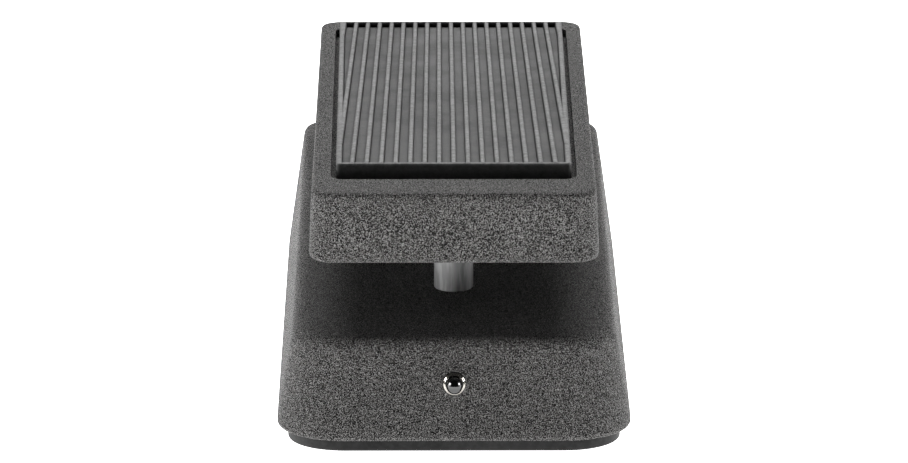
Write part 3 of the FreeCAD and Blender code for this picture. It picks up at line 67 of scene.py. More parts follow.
# ---------------------------------------------------------------- node helpers
def new_group(name, inputs, outputs):
    """Empty effect group: inputs are (name, value) pairs and outputs are names. All carry plain numbers."""
    tree = bpy.data.node_groups.new(name, "ShaderNodeTree")
    for label, value in inputs:
        socket = tree.interface.new_socket(label, in_out="INPUT", socket_type="NodeSocketFloat")
        socket.default_value = value
    for label in outputs:
        tree.interface.new_socket(label, in_out="OUTPUT", socket_type="NodeSocketFloat")
    return tree, tree.nodes.new("NodeGroupInput"), tree.nodes.new("NodeGroupOutput")


def put(tree, kind, **values):
    """Adds a node and sets its properties, or its sockets where the value's name is a socket's."""
    node = tree.nodes.new(kind)
    for label, value in values.items():
        if hasattr(node, label):
            setattr(node, label, value)
        else:
            node.inputs[label.replace("_", " ")].default_value = value
    return node


def wire(tree, *pairs):
    for out_socket, in_socket in pairs:
        tree.links.new(out_socket, in_socket)


def number(tree, operation, *values):
    """Math node whose inputs are sockets or plain numbers."""
    node = put(tree, "ShaderNodeMath", operation=operation)
    for i, value in enumerate(values):
        if isinstance(value, (int, float)):
            node.inputs[i].default_value = value
        else:
            tree.links.new(value, node.inputs[i])
    return node.outputs[0]


def spread(tree, value, low, high, to_low=0.0, to_high=1.0):
    """Smooth step of a value from low..high onto to_low..to_high."""
    node = put(tree, "ShaderNodeMapRange", interpolation_type="SMOOTHSTEP")
    tree.links.new(value, node.inputs["Value"])
    for label, setting in (("From Min", low), ("From Max", high), ("To Min", to_low), ("To Max", to_high)):
        node.inputs[label].default_value = setting
    return node.outputs["Result"]


def between(tree, mask, low, high):
    """Value that goes from low to high as a mask goes from 0 to 1."""
    return spread(tree, mask, 0.0, 1.0, low, high)


def object_noise(tree, scale, detail=2.0, roughness=0.5, stretch=None):
    """Noise fixed to the piece. scale is features per metre, as a socket or a number."""
    place = put(tree, "ShaderNodeTexCoord").outputs["Object"]
    if stretch:
        mapping = put(tree, "ShaderNodeMapping")
        mapping.inputs["Scale"].default_value = stretch
        tree.links.new(place, mapping.inputs["Vector"])
        place = mapping.outputs["Vector"]
    node = put(tree, "ShaderNodeTexNoise", Detail=detail, Roughness=roughness)
    tree.links.new(place, node.inputs["Vector"])
    if isinstance(scale, (int, float)):
        node.inputs["Scale"].default_value = scale
    else:
        tree.links.new(scale, node.inputs["Scale"])
    return node.outputs["Fac"]


# ---------------------------------------------------------------- floor and light
# The room is pale beyond the toe and dark beside the pedal and behind the camera
STUDIO_DARK_Y = -0.1
STUDIO_BRIGHT_Y = 0.95
STUDIO_DARK = 0.03
STUDIO_BRIGHT = 0.34
FLOOR_GLOW = 1.8
FLOOR_GAP = 0.1 * MM
FLOOR_HALF = 4.0
LIGHT_AIM = (0.0, 0.0, 0.03)
# Name, place, width, height and power of each lit panel, all aimed at LIGHT_AIM
STUDIO_LIGHTS = (
    ("overhead_softbox", (0.0, 0.85, 1.05), 1.3, 0.6, 26.0),
    ("left_sweep", (-0.55, 0.2, 0.018), 0.8, 0.034, 1.3),
    ("right_sweep", (0.55, 0.2, 0.018), 0.8, 0.034, 1.0),
    ("left_softbox", (-0.95, -0.45, 0.42), 0.5, 0.35, 1.3),
    ("right_softbox", (0.95, -0.45, 0.42), 0.5, 0.35, 0.9),
)
# Panels that show only as highlights on glossy pieces
STUDIO_REFLECTORS = (
    ("left_reflector", (-0.89, -0.23, 0.42), 0.5, 0.42, 12.0),
    ("right_reflector", (0.89, -0.23, 0.42), 0.45, 0.4, 9.0),
)


def soft_light(name, place, width, height, power):
    """Rectangular white panel that faces the pedal."""
    data = bpy.data.lights.new(name, "AREA")
    data.shape = "RECTANGLE"
    data.size = width
    data.size_y = height
    data.energy = power
    light = bpy.data.objects.new(name, data)
    light.location = place
    direction = Vector(LIGHT_AIM) - Vector(place)
    light.rotation_euler = direction.to_track_quat("-Z", "Y").to_euler()
    bpy.context.collection.objects.link(light)
    return light


def make_clear_from_below(tree, shader):
    """Lets the underside of the pedal be seen through the paper."""
    clear = put(tree, "ShaderNodeBsdfTransparent")
    choose = put(tree, "ShaderNodeMixShader")
    side = put(tree, "ShaderNodeNewGeometry").outputs["Backfacing"]
    surface = tree.nodes["Material Output"].inputs["Surface"]
    wire(tree, (side, choose.inputs[0]), (shader.outputs[0], choose.inputs[1]))
    wire(tree, (clear.outputs[0], choose.inputs[2]), (choose.outputs[0], surface))


def make_room():
    world = bpy.data.worlds.new("pale_studio")
    world.use_nodes = True
    tree = world.node_tree
    background = tree.nodes["Background"]
    toward = put(tree, "ShaderNodeSeparateXYZ")
    wire(tree, (put(tree, "ShaderNodeTexCoord").outputs["Generated"], toward.inputs[0]))
    sweep = spread(tree, toward.outputs["Y"], STUDIO_DARK_Y, STUDIO_BRIGHT_Y, STUDIO_DARK, STUDIO_BRIGHT)
    background.inputs["Color"].default_value = (1.0, 1.0, 1.0, 1.0)
    wire(tree, (sweep, background.inputs["Strength"]))
    bpy.context.scene.world = world
    bpy.context.scene.view_settings.view_transform = "Standard"


def make_lights():
    for panel in STUDIO_LIGHTS:
        soft_light(*panel)
    for panel in STUDIO_REFLECTORS:
        soft_light(*panel).visible_diffuse = False


def make_floor():
    """Glowing white paper, a hair under the pedal so that the mat's lower face stays clear of it."""
    mesh = bpy.data.meshes.new("pale_floor")
    signs = ((-1, -1), (1, -1), (1, 1), (-1, 1))
    corners = [(FLOOR_HALF * x, FLOOR_HALF * y, -FLOOR_GAP) for x, y in signs]
    mesh.from_pydata(corners, [], [(0, 1, 2, 3)])
    floor = bpy.data.objects.new("pale_floor", mesh)
    paper = bpy.data.materials.new("pale_paper")
    paper.use_nodes = True
    shader = paper.node_tree.nodes["Principled BSDF"]
    shader.inputs["Base Color"].default_value = (0.93, 0.93, 0.93, 1.0)
    shader.inputs["Roughness"].default_value = 0.9
    shader.inputs["Emission Color"].default_value = (1.0, 1.0, 1.0, 1.0)
    shader.inputs["Emission Strength"].default_value = FLOOR_GLOW
    make_clear_from_below(paper.node_tree, shader)
    mesh.materials.append(paper)
    bpy.context.collection.objects.link(floor)


# ---------------------------------------------------------------- effects on the surfaces
def put_out(tree, result, **values):
    """Wires each value to the group's output of that name."""
    for label, value in values.items():
        tree.links.new(value, result.inputs[label])


def make_coat_grain():
    """Wrinkled powder coat: rounded grains that stand proud, and bright flecks scattered over them."""
    tree, given, result = new_group(
        "coat_grain", [("Grains", 1300.0), ("Fleck", 0.5)], ["Height", "Fleck", "Cloud"]
    )
    cells = put(tree, "ShaderNodeTexVoronoi", feature="SMOOTH_F1", Smoothness=0.6, Randomness=1.0)
    place = put(tree, "ShaderNodeTexCoord").outputs["Object"]
    wire(tree, (place, cells.inputs["Vector"]), (given.outputs["Grains"], cells.inputs["Scale"]))
    crown = spread(tree, cells.outputs["Distance"], 0.75, 0.1)
    fine_scale = number(tree, "MULTIPLY", given.outputs["Grains"], 1.9)
    fine = object_noise(tree, fine_scale, 2.0, 0.6)
    coarse_part = number(tree, "MULTIPLY", crown, 0.65)
    height = number(tree, "ADD", coarse_part, number(tree, "MULTIPLY", fine, 0.6))
    sparkle_scale = number(tree, "MULTIPLY", given.outputs["Grains"], 1.55)
    sparkle = object_noise(tree, sparkle_scale, 1.0, 0.6)
    fleck = spread(tree, sparkle, 0.48, 0.63)
    fleck = number(tree, "MULTIPLY", fleck, given.outputs["Fleck"])
    cloud = spread(tree, object_noise(tree, 22.0, 3.0, 0.6), 0.35, 0.7)
    put_out(tree, result, Height=height, Fleck=fleck, Cloud=cloud)
    return tree


def make_edge_wear():
    """Mask of rubbed edges and corners, broken up along their length."""
    tree, given, result = new_group(
        "edge_wear", [("Radius", 0.8 * MM), ("Breakup", 260.0), ("Amount", 1.0)], ["Wear"]
    )
    bevel = put(tree, "ShaderNodeBevel", samples=4)
    wire(tree, (given.outputs["Radius"], bevel.inputs["Radius"]))
    surface = put(tree, "ShaderNodeNewGeometry")
    facing = put(tree, "ShaderNodeVectorMath", operation="DOT_PRODUCT")
    wire(tree, (bevel.outputs["Normal"], facing.inputs[0]), (surface.outputs["Normal"], facing.inputs[1]))
    turned = number(tree, "SUBTRACT", 1.0, facing.outputs["Value"])
    edge = spread(tree, turned, 0.004, 0.12)
    breakup = spread(tree, object_noise(tree, given.outputs["Breakup"], 4.0, 0.7), 0.35, 0.7)
    wear = number(tree, "MULTIPLY", number(tree, "MULTIPLY", edge, breakup), given.outputs["Amount"])
    put_out(tree, result, Wear=wear)
    return tree


def make_settled_dust():
    """Mask of fine dust and lint on faces that look up."""
    tree, given, result = new_group("settled_dust", [("Amount", 0.3), ("Specks", 900.0)], ["Dust"])
    surface = put(tree, "ShaderNodeNewGeometry")
    split = put(tree, "ShaderNodeSeparateXYZ")
    wire(tree, (surface.outputs["Normal"], split.inputs[0]))
    up = spread(tree, split.outputs["Z"], 0.5, 1.0)
    film = spread(tree, object_noise(tree, 45.0, 4.0, 0.65), 0.4, 0.75)
    speck = spread(tree, object_noise(tree, given.outputs["Specks"], 1.0, 0.5), 0.68, 0.76)
    both = number(tree, "MAXIMUM", number(tree, "MULTIPLY", film, 0.45), speck)
    dust = number(tree, "MULTIPLY", number(tree, "MULTIPLY", up, both), given.outputs["Amount"])
    put_out(tree, result, Dust=dust)
    return tree


def make_moulded_skin():
    """Skin of a moulded piece: faint orange peel, broad duller and shinier patches, and a fine mottle."""
    tree, given, result = new_group(
        "moulded_skin", [("Grain", 2500.0), ("Patches", 60.0)], ["Height", "Patch", "Mottle"]
    )
    grain = object_noise(tree, given.outputs["Grain"], 3.0, 0.6)
    patch = spread(tree, object_noise(tree, given.outputs["Patches"], 4.0, 0.6), 0.3, 0.7)
    mottle = spread(tree, object_noise(tree, 700.0, 3.0, 0.7), 0.3, 0.72)
    put_out(tree, result, Height=grain, Patch=patch, Mottle=mottle)
    return tree


def make_plated_marks():
    """Marks on plated or brushed metal: fine drawn lines one way, and soft handling smudges."""
    tree, given, result = new_group(
        "plated_marks", [("Lines", 900.0), ("Smudges", 140.0)], ["Line", "Smudge"]
    )
    line = object_noise(tree, given.outputs["Lines"], 2.0, 0.6, (1.0, 0.06, 1.0))
    smudge = spread(tree, object_noise(tree, given.outputs["Smudges"], 4.0, 0.65), 0.35, 0.7)
    put_out(tree, result, Line=line, Smudge=smudge)
    return tree


EFFECTS = {
    "coat_grain": make_coat_grain(),
    "edge_wear": make_edge_wear(),
    "settled_dust": make_settled_dust(),
    "moulded_skin": make_moulded_skin(),
    "plated_marks": make_plated_marks(),
}


# ---------------------------------------------------------------- finishes
def new_finish(name, **sockets):
    """Material with a Principled shader whose plain values are set on its own sockets."""
    material = bpy.data.materials.new(name)
    material.use_nodes = True
    shader = material.node_tree.nodes["Principled BSDF"]
    for label, value in sockets.items():
        shader.inputs[label.replace("_", " ")].default_value = value
    return material, material.node_tree, shader


def effect(tree, name, **values):
    """Places one of the shared effects with this finish's own values, and returns its outputs."""
    node = tree.nodes.new("ShaderNodeGroup")
    node.node_tree = EFFECTS[name]
    for label, value in values.items():
        node.inputs[label].default_value = value
    return node.outputs


def grey(value, warm=0.0):
    """Grey of that value; warm is the share that red gains and blue loses."""
    return (value * (1 + warm), value, value * (1 - warm), 1.0)


def mix_colour(tree, mask, low, high):
    """Colour that goes from low to high as the mask does; each is a colour or a socket."""
    node = put(tree, "ShaderNodeMix", data_type="RGBA")
    sockets = [s for s in node.inputs if s.type == "RGBA"]
    tree.links.new(mask, node.inputs[0])
    for socket, value in zip(sockets, (low, high)):
        if isinstance(value, tuple):
            socket.default_value = value
        else:
            tree.links.new(value, socket)
    return [s for s in node.outputs if s.type == "RGBA"][0]


def cover(tree, shader, colour, rough, height, relief, strength=1.0):
    """Wires a finish's colour and roughness, and its height as a bump of that relief, to its shader."""
    wire(tree, (colour, shader.inputs["Base Color"]), (rough, shader.inputs["Roughness"]))
    bump = put(tree, "ShaderNodeBump", Distance=relief, Strength=strength)
    wire(tree, (height, bump.inputs["Height"]), (bump.outputs["Normal"], shader.inputs["Normal"]))


def powder_coat():
    material, tree, shader = new_finish("black_powder_coat", Specular_IOR_Level=0.06)
    grain = effect(tree, "coat_grain", Grains=3600.0, Fleck=1.0)
    wear = effect(tree, "edge_wear", Radius=0.9 * MM, Breakup=320.0, Amount=0.5)
    dust = effect(tree, "settled_dust", Amount=0.03, Specks=1100.0)
    colour = mix_colour(tree, grain["Fleck"], grey(0.001), grey(0.29, 0.02))
    colour = mix_colour(tree, number(tree, "MULTIPLY", grain["Cloud"], 0.1), colour, grey(0.02, 0.02))
    colour = mix_colour(tree, wear["Wear"], colour, grey(0.17))
    colour = mix_colour(tree, dust["Dust"], colour, grey(0.35, 0.04))
    rough = between(tree, grain["Fleck"], 0.75, 0.4)
    cover(tree, shader, colour, rough, grain["Height"], 0.14 * MM)
    return material


def tread_rubber():
    """Dark rubber, painted paler on the ribs' crowns as rub wear and as painted highlight, with fine dust
    on the faces that look up.
    """
    material, tree, shader = new_finish("ribbed_tread_rubber", Specular_IOR_Level=0.25)
    skin = effect(tree, "moulded_skin", Grain=2600.0, Patches=40.0)
    dust = effect(tree, "settled_dust", Amount=0.12, Specks=1300.0)
    crown = put(tree, "ShaderNodeAttribute", attribute_name="rib_rise").outputs["Fac"]
    crown = spread(tree, crown, 0.55, 1.0)
    # The ribs' crowns are painted paler: partly rub wear, partly painted highlight on the tops that face
    # the light.
    crown_wear_and_highlight = number(tree, "MULTIPLY", crown, between(tree, skin["Mottle"], 0.55, 1.0))
    colour = mix_colour(tree, skin["Mottle"], grey(0.006), grey(0.018))
    colour = mix_colour(tree, crown_wear_and_highlight, colour, grey(0.17))
    colour = mix_colour(tree, dust["Dust"], colour, grey(0.3, 0.03))
    rough = between(tree, skin["Patch"], 0.55, 0.68)
    cover(tree, shader, colour, rough, skin["Height"], 0.05 * MM, 0.6)
    return material


def mat_rubber():
    """Smooth black rubber, a little paler along its rubbed edges."""
    material, tree, shader = new_finish("smooth_mat_rubber", Specular_IOR_Level=0.25)
    skin = effect(tree, "moulded_skin", Grain=1800.0, Patches=55.0)
    wear = effect(tree, "edge_wear", Radius=0.5 * MM, Breakup=400.0, Amount=0.6)
    colour = mix_colour(tree, skin["Mottle"], grey(0.011), grey(0.022))
    colour = mix_colour(tree, wear["Wear"], colour, grey(0.0484))
    rough = between(tree, skin["Patch"], 0.55, 0.7)
    cover(tree, shader, colour, rough, skin["Height"], 0.04 * MM, 0.6)
    return material


# The painted highlight down the bumper's front, a reflection painted into its colour: its middle's X, and
# how far it fades out to either side
PAINTED_HIGHLIGHT_X = -2.1 * MM
PAINTED_HIGHLIGHT_HALF_WIDTH = 3.0 * MM


def bumper_rubber():
    """Hard grey rubber with a moulded gloss, upright streaks, and a painted highlight: a pale stripe
    painted down its front.
    """
    material, tree, shader = new_finish("glossy_bumper_rubber", Specular_IOR_Level=0.7)
    skin = effect(tree, "moulded_skin", Grain=1500.0, Patches=220.0)
    wear = effect(tree, "edge_wear", Radius=0.15 * MM, Breakup=300.0, Amount=0.2)
    streak = spread(tree, object_noise(tree, 1100.0, 2.0, 0.6, (1.0, 1.0, 0.15)), 0.35, 0.65)
    across = put(tree, "ShaderNodeSeparateXYZ")
    wire(tree, (put(tree, "ShaderNodeTexCoord").outputs["Object"], across.inputs[0]))
    from_painted_highlight = number(tree, "ABSOLUTE", number(tree, "SUBTRACT", across.outputs["X"], PAINTED_HIGHLIGHT_X))
    painted_highlight = spread(tree, from_painted_highlight, PAINTED_HIGHLIGHT_HALF_WIDTH, 0.0)
    painted_highlight = number(tree, "MULTIPLY", painted_highlight, between(tree, streak, 0.65, 1.0))
    colour = mix_colour(tree, streak, grey(0.02), grey(0.06))
    # Painted highlight: the stripe is mixed to a pale grey to stand in for a reflection of the light on the
    # bumper's left.
    colour = mix_colour(tree, painted_highlight, colour, grey(0.42))
    colour = mix_colour(tree, wear["Wear"], colour, grey(0.5))
    rough = between(tree, skin["Patch"], 0.3, 0.34)
    cover(tree, shader, colour, rough, skin["Height"], 0.02 * MM, 0.4)
    return material


def plated_metal(
    name, colour, dull, rough_low, rough_high, lines=900.0, line_height=0.01 * MM, wear_amount=0.4
):
    """Plated metal with drawn lines, brighter rubbed edges, and smudges of the dull colour."""
    def build():
        material, tree, shader = new_finish(name, Metallic=1.0)
        marks = effect(tree, "plated_marks", Lines=lines, Smudges=150.0)
        wear = effect(tree, "edge_wear", Radius=0.25 * MM, Breakup=700.0, Amount=wear_amount)
        base = mix_colour(tree, marks["Smudge"], colour, dull)
        base = mix_colour(tree, wear["Wear"], base, grey(0.5))
        rough = between(tree, marks["Smudge"], rough_low, rough_high)
        cover(tree, shader, base, rough, marks["Line"], line_height, 0.5)
        return material
    return build


def moulded_plastic(name, dark, light, rough_low, rough_high):
    """Moulded plastic or lacquer that mottles from dark to light, with edges rubbed paler."""
    def build():
        material, tree, shader = new_finish(name)
        skin = effect(tree, "moulded_skin", Grain=2200.0, Patches=90.0)
        wear = effect(tree, "edge_wear", Radius=0.3 * MM, Breakup=500.0, Amount=0.35)
        edge = tuple(min(1.0, channel * 1.5 + 0.04) for channel in light[:3]) + (1.0,)
        colour = mix_colour(tree, skin["Mottle"], dark, light)
        colour = mix_colour(tree, wear["Wear"], colour, edge)
        rough = between(tree, skin["Patch"], rough_low, rough_high)
        cover(tree, shader, colour, rough, skin["Height"], 0.03 * MM, 0.5)
        return material
    return build


def board_laminate():
    """Green solder mask with the faint weave of the glass cloth and straight copper tracks under it."""
    material, tree, shader = new_finish("green_board")
    skin = effect(tree, "moulded_skin", Grain=1500.0, Patches=120.0)
    place = put(tree, "ShaderNodeTexCoord").outputs["Object"]
    weave = put(tree, "ShaderNodeTexChecker", Scale=1100.0)
    tracks = put(tree, "ShaderNodeTexBrick", Scale=90.0, Mortar_Size=0.045, Brick_Width=0.7, Row_Height=0.3)
    wire(tree, (place, weave.inputs["Vector"]), (place, tracks.inputs["Vector"]))
    colour = mix_colour(tree, weave.outputs["Fac"], (0.012, 0.12, 0.05, 1.0), (0.016, 0.145, 0.062, 1.0))
    colour = mix_colour(tree, tracks.outputs["Fac"], colour, (0.05, 0.24, 0.09, 1.0))
    rough = between(tree, skin["Patch"], 0.25, 0.4)
    cover(tree, shader, colour, rough, tracks.outputs["Fac"], 0.03 * MM, 0.6)
    return material


def open_cell_foam():
    """Black foam with paler walls between its cells."""
    material, tree, shader = new_finish("black_foam", Specular_IOR_Level=0.2)
    cells = put(tree, "ShaderNodeTexVoronoi", feature="DISTANCE_TO_EDGE", Scale=1600.0)
    place = put(tree, "ShaderNodeTexCoord").outputs["Object"]
    wire(tree, (place, cells.inputs["Vector"]))
    wall = spread(tree, cells.outputs["Distance"], 0.0, 0.12, 1.0, 0.0)
    colour = mix_colour(tree, wall, grey(0.008), grey(0.07))
    rough = between(tree, wall, 0.95, 0.7)
    cover(tree, shader, colour, rough, wall, 0.15 * MM)
    return material


POLISHED = {"lines": 500.0, "line_height": 0.0005 * MM, "wear_amount": 0.1}

# The finish of each slot. collar_nickel is no slot's: only the lever's collar has it
FINISHES = {
    "powder_coat": powder_coat,
    "tread_rubber": tread_rubber,
    "mat_rubber": mat_rubber,
    "bumper_rubber": bumper_rubber,
    "zinc_plate": plated_metal(
        "zinc_plated_sheet", (0.24, 0.245, 0.255, 1), (0.17, 0.175, 0.185, 1), 0.28, 0.45, 700.0, 0.02 * MM
    ),
    "steel_hardware": plated_metal("bright_steel", grey(0.28), grey(0.2), 0.2, 0.36),
    "nickel_hardware": plated_metal(
        "nickel_plate", (0.32, 0.31, 0.29, 1), (0.24, 0.23, 0.215, 1), 0.12, 0.26
    ),
    "collar_nickel": plated_metal(
        "polished_collar", (0.55, 0.53, 0.49, 1), (0.4, 0.38, 0.35, 1), 0.1, 0.2, **POLISHED
    ),
    "bright_chrome": plated_metal("mirror_chrome", grey(0.1), grey(0.075), 0.03, 0.07, **POLISHED),
    "white_nylon": moulded_plastic(
        "natural_nylon", (0.4, 0.39, 0.345, 1), (0.48, 0.465, 0.42, 1), 0.4, 0.55
    ),
    "black_plastic": moulded_plastic(
        "black_moulding", (0.014, 0.014, 0.015, 1), (0.03, 0.03, 0.032, 1), 0.35, 0.5
    ),
    "contact_metal": plated_metal("contact_brass", (0.78, 0.62, 0.32, 1), (0.6, 0.45, 0.22, 1), 0.2, 0.38),
    "board_green": board_laminate,
    "ferrite": moulded_plastic("dark_ferrite", (0.05, 0.045, 0.043, 1), (0.1, 0.09, 0.086, 1), 0.45, 0.65),
    "capacitor_blue": moulded_plastic(
        "blue_sleeve", (0.03, 0.07, 0.26, 1), (0.05, 0.1, 0.34, 1), 0.18, 0.3
    ),
    "resistor_tan": moulded_plastic("tan_lacquer", (0.52, 0.38, 0.22, 1), (0.66, 0.5, 0.32, 1), 0.3, 0.45),
    "battery_case": moulded_plastic(
        "plain_battery_wrap", (0.05, 0.05, 0.055, 1), (0.09, 0.09, 0.095, 1), 0.22, 0.35
    ),
    "foam": open_cell_foam,
    "lead_red": moulded_plastic(
        "red_wire_sleeve", (0.4, 0.025, 0.02, 1), (0.55, 0.04, 0.03, 1), 0.3, 0.42
    ),
}


def dress_frame():
    """Gives each CAD node the finish of its slot in the record, and returns the finishes made."""
    made = {}
    slots = {part["node"]: part["material_slot"] for part in frame["record"]["subparts"]}
    for name, node in frame["nodes"].items():
        slot = slots[name]
        if slot not in made:
            made[slot] = FINISHES[slot]()
        if not node.data.materials:
            node.data.materials.append(made[slot])
        for place in node.material_slots:
            place.material = made[slot]
    return made


# ---------------------------------------------------------------- shape helpers
def add_piece(name, vertices, faces, material, body, replaced, sharp_deg):
    """Smooth-shaded mesh that rides a body and replaces a CAD node. Edges over sharp_deg stay sharp."""
    mesh = bpy.data.meshes.new(name)
    mesh.from_pydata(vertices, [], faces)
    shell = bmesh.new()
    shell.from_mesh(mesh)
    bmesh.ops.recalc_face_normals(shell, faces=shell.faces)
    shell.to_mesh(mesh)
    shell.free()
    mesh.shade_smooth()
    mesh.set_sharp_from_angle(angle=math.radians(sharp_deg))
    mesh.materials.append(material)
    piece = bpy.data.objects.new(name, mesh)
    bpy.context.collection.objects.link(piece)
    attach(piece, body)
    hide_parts(replaced)
    return piece


def join_rings(rings, wrap=False):
    """Vertices and faces of a skin over rings of as many points. Its ends are closed, or joined by wrap."""
    count = len(rings[0])
    vertices = [point for ring in rings for point in ring]
    faces = []
    spans = len(rings) if wrap else len(rings) - 1
    for i in range(spans):
        here = i * count
        there = ((i + 1) % len(rings)) * count
        for j in range(count):
            k = (j + 1) % count
            faces.append((here + j, here + k, there + k, there + j))
    if not wrap:
        faces.append(tuple(reversed(range(count))))
        faces.append(tuple(range((len(rings) - 1) * count, len(rings) * count)))
    return vertices, faces


def turned_rings(profile, place, steps):
    """Rings of a turned shape. profile is (radius, height) pairs, and place takes them to the object."""
    rings = []
    for radius, height in profile:
        ring = []
        for i in range(steps):
            angle = 2 * math.pi * i / steps
            ring.append(place @ Vector((radius * math.cos(angle), radius * math.sin(angle), height)))
        rings.append(ring)
    return rings


def arc_profile(centre_r, centre_h, radius, start_deg, end_deg, steps):
    """Profile points on an arc. Angles are from the outward radial direction towards +height."""
    points = []
    for i in range(steps + 1):
        angle = math.radians(start_deg + (end_deg - start_deg) * i / steps)
        points.append((centre_r + radius * math.cos(angle), centre_h + radius * math.sin(angle)))
    return points


def local_points(node, place):
    """Points of a CAD node in the local frame that place stands for."""
    back = place.inverted()
    return [back @ vertex.co for vertex in frame["nodes"][node].data.vertices]


# ---------------------------------------------------------------- tread pad
# A face whose normal's Z is over this is one of the pad's top faces
LOOKS_UP = 0.99
RIB_PITCH = 3.13 * MM
RIB_FOOT_HALF = 0.66 * MM
RIB_RISE = 1.35 * MM
BORDER_WIDTH = 1.4 * MM
BORDER_STEP_DOWN = 0.06 * MM
PAD_CORNER_RADIUS = 1.0 * MM
PAD_CORNER_STEPS = 6
PAD_EDGE_ROUND = 0.15 * MM
PAD_SHARP_DEG = 38.0
SHORTEST_RIB = 4 * BORDER_WIDTH
RIB_BURY = 0.1 * MM
RIB_STEPS = 24
# Half-widths and rises over a rib, as shares of RIB_FOOT_HALF and RIB_RISE: drafted sides, rounded crown
RIB_SECTION = (
    (-1.0, -0.12), (-0.97, 0.15), (-0.86, 0.72), (-0.74, 0.90), (-0.52, 0.98), (-0.2, 1.0),
    (0.2, 1.0), (0.52, 0.98), (0.74, 0.90), (0.86, 0.72), (0.97, 0.15), (1.0, -0.12),
)


def treadle_tilt():
    """Tilt of the treadle at rest, from the flat faces on top of the pad's CAD solid."""
    total = Vector((0.0, 0.0, 0.0))
    for face in frame["nodes"]["tread_pad"].data.polygons:
        if face.normal.z > LOOKS_UP:
            total += face.normal * face.area
    return math.atan2(-total.y, total.z)


def rounded_trapezoid(half_heel, half_toe, y_heel, y_toe, radius, z):
    """Points round a trapezoid with rounded corners, anticlockwise from the heel's left corner."""
    corners = [(-half_heel, y_heel), (half_heel, y_heel), (half_toe, y_toe), (-half_toe, y_toe)]
    points = []
    for i, corner in enumerate(corners):
        here = Vector(corner)
        before = (Vector(corners[i - 1]) - here).normalized()
        after = (Vector(corners[(i + 1) % 4]) - here).normalized()
        half_angle = before.angle(after) / 2
        centre = here + (before + after).normalized() * (radius / math.sin(half_angle))
        start = here + before * (radius / math.tan(half_angle)) - centre
        end = here + after * (radius / math.tan(half_angle)) - centre
        turn = start.angle_signed(end)
        for step in range(PAD_CORNER_STEPS + 1):
            share = step / PAD_CORNER_STEPS
            arm = start.copy()
            arm.rotate(Matrix.Rotation(-turn * share, 2))
            points.append(Vector((centre.x + arm.x, centre.y + arm.y, z)))
    return points


def rib_rings(x, start, end, z_floor):
    """Rings of one rib, from its heel end to its toe end."""
    rings = []
    for step in range(RIB_STEPS + 1):
        y = start + (end - start) * step / RIB_STEPS
        ring = [(x + RIB_FOOT_HALF * across, y, z_floor + RIB_RISE * up) for across, up in RIB_SECTION]
        rings.append([Vector(point) for point in ring])
    return rings


def pad_tray(half_heel, half_toe, y_heel, y_toe, z_low, z_top):
    """Skin of the rounded border and of the floor inside it."""
    z_floor = z_top - RIB_RISE
    z_border = z_top - BORDER_STEP_DOWN
    # (inset in mm, z), up the outside, over the border and down into the field
    section = [
        (0.10, z_low), (0.0, z_low + PAD_EDGE_ROUND), (0.0, z_border - 0.45 * MM),
        (0.06, z_border - 0.24 * MM), (0.18, z_border - 0.09 * MM), (0.38, z_border),
        (0.98, z_border), (1.18, z_border - 0.10 * MM), (1.30, z_border - 0.30 * MM),
        (1.38, z_floor + 0.30 * MM), (1.48, z_floor + 0.10 * MM), (1.75, z_floor),
    ]
    rings = []
    for inset_mm, z in section:
        inset = inset_mm * MM
        radius = max(PAD_CORNER_RADIUS - inset, PAD_EDGE_ROUND)
        sides = (half_heel - inset, half_toe - inset, y_heel + inset, y_toe - inset)
        rings.append(rounded_trapezoid(*sides, radius, z))
    return join_rings(rings)


def pad_ribs(half_heel, half_toe, y_heel, y_toe, z_floor):
    """Skins of the ribs, buried in the floor and in the border at both ends."""
    end_inset = BORDER_WIDTH * 0.5
    splay = (half_toe - half_heel) / (y_toe - y_heel)
    count = int(half_toe / RIB_PITCH)
    skins = []
    for i in range(-count, count + 1):
        x = i * RIB_PITCH
        outer = abs(x) + RIB_FOOT_HALF + RIB_BURY
        start = y_heel + end_inset
        if outer > half_heel:
            start = max(start, y_heel + (outer - half_heel) / splay)
        end = y_toe - end_inset
        if end - start >= SHORTEST_RIB:
            skins.append(join_rings(rib_rings(x, start, end, z_floor)))
    return skins


def make_tread_pad(material):
    """Moulded rubber tread: a rounded border round a field of lengthwise ribs."""
    lie = Matrix.Rotation(treadle_tilt(), 4, "X")
    points = local_points("tread_pad", lie)
    y_heel = min(p.y for p in points)
    y_toe = max(p.y for p in points)
    z_low = min(p.z for p in points)
    z_top = max(p.z for p in points)
    near_corner = PAD_CORNER_RADIUS * 1.5
    half_heel = max(p.x for p in points if p.y < y_heel + near_corner)
    half_toe = max(p.x for p in points if p.y > y_toe - near_corner)
    outline = (half_heel, half_toe, y_heel, y_toe)
    z_floor = z_top - RIB_RISE

    vertices = []
    faces = []
    for more_vertices, more_faces in [pad_tray(*outline, z_low, z_top)] + pad_ribs(*outline, z_floor):
        offset = len(vertices)
        vertices += more_vertices
        faces += [tuple(index + offset for index in face) for face in more_faces]
    rise = [min(1.0, max(0.0, (v.z - z_floor) / RIB_RISE)) for v in vertices]
    laid = [lie @ v for v in vertices]
    piece = add_piece(
        "ribbed_tread_pad", laid, faces, material, "treadle", "tread_pad", PAD_SHARP_DEG
    )
    attribute = piece.data.attributes.new("rib_rise", "FLOAT", "POINT")
    attribute.data.foreach_set("value", rise)


# ---------------------------------------------------------------- lever switch
TURN_STEPS = 64
TURNED_SHARP_DEG = 50.0
BALL_STEPS = 26
# The neck's radius as a share of the ball's
NECK_SHARE = 0.47
TAIL_END = 0.3 * MM
COLLAR_PROUD = 1.4 * MM
COLLAR_STEP = 0.24 * MM
COLLAR_ROUND = 0.22 * MM
MOUTH_ROUND = 0.12 * MM
# Radii of the bush's hole at the lever's pivot, halfway down and at its lower end
MOUTH_RADII = (1.15 * MM, 1.3 * MM, 1.85 * MM)


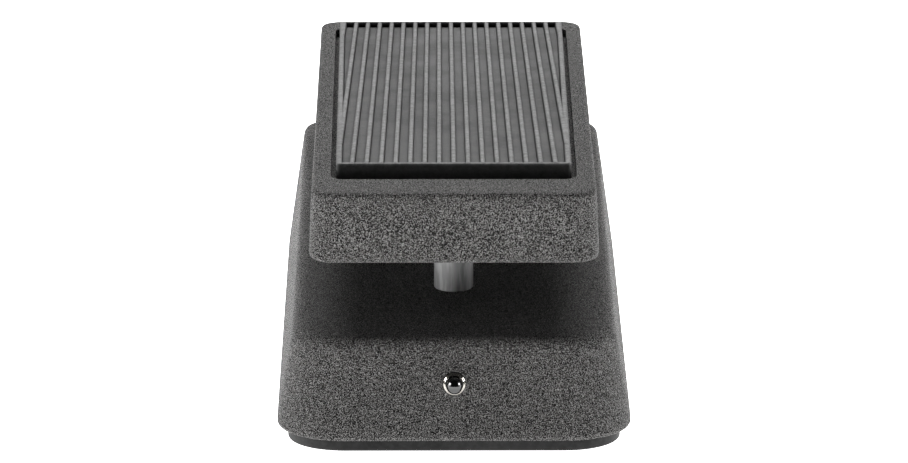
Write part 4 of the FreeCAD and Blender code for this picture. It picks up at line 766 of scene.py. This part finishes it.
def lever_place():
    """Local frame of the lever switch: origin at the lever's pivot, +Z straight out of the heel wall."""
    joint = next(j for j in frame["record"]["behaviour"]["joints"] if j["name"] == "voice_lever_throw")
    throw_axis = Vector(joint["axis"]).normalized()
    side = Vector((1.0, 0.0, 0.0))
    outward = side.cross(throw_axis).normalized()
    if outward.y > 0:
        outward = -outward
    up = outward.cross(side)
    turn = Matrix((side, up, outward)).transposed().to_4x4()
    return Matrix.Translation(Vector(joint["pos_m"])) @ turn


def make_lever(material):
    """Round-ended lever: a ball on a waisted neck, with a straight tail down into the switch."""
    place = lever_place()
    points = local_points("voice_switch_lever", place)
    ball = max(p.x for p in points)
    top = max(p.z for p in points)
    low = min(p.z for p in points)
    centre = top - ball
    neck = ball * NECK_SHARE
    profile = arc_profile(0.0, centre, ball, 89.0, -56.0, BALL_STEPS)
    profile += [(neck * 1.18, centre - ball * 0.93), (neck * 1.04, centre - ball * 1.03)]
    profile += [(neck, centre - ball * 1.2), (neck, low + TAIL_END)]
    profile += [(neck * 0.9, low + TAIL_END / 3), (neck * 0.6, low)]
    vertices, faces = join_rings(turned_rings(profile, place, TURN_STEPS))
    add_piece(
        "lever_with_ball", vertices, faces, material,
        "voice_lever", "voice_switch_lever", TURNED_SHARP_DEG,
    )


def make_lever_bush(material):
    """Threaded bush in the wall: a stepped, rounded collar outside and a flared mouth round the lever."""
    place = lever_place()
    points = local_points("voice_switch_bush", place)
    radius = max(p.x for p in points)
    top = max(p.z for p in points)
    low = min(p.z for p in points)
    wall = top - COLLAR_PROUD
    front = radius - COLLAR_STEP
    flange_top = wall + 0.42 * MM
    profile = [(radius, low), (radius, wall + 0.3 * MM)]
    profile += arc_profile(radius - COLLAR_ROUND, flange_top, COLLAR_ROUND, 0.0, 90.0, 5)
    profile += [(front - 0.04 * MM, wall + 0.70 * MM), (front, wall + 0.82 * MM), (front, top - 0.3 * MM)]
    profile += arc_profile(front - COLLAR_ROUND, top - COLLAR_ROUND, COLLAR_ROUND, 10.0, 90.0, 5)
    profile += arc_profile(front - 2 * MOUTH_ROUND, top - MOUTH_ROUND, MOUTH_ROUND, 90.0, 190.0, 4)
    profile += zip(MOUTH_RADII, (0.0, low * 0.5, low))
    vertices, faces = join_rings(turned_rings(profile, place, TURN_STEPS), wrap=True)
    add_piece(
        "lever_collar", vertices, faces, material,
        "housing", "voice_switch_bush", TURNED_SHARP_DEG,
    )


# ---------------------------------------------------------------- build
make_camera()
make_room()
make_lights()
make_floor()
finishes = dress_frame()
make_tread_pad(finishes["tread_rubber"])
make_lever(finishes["bright_chrome"])
make_lever_bush(FINISHES["collar_nickel"]())
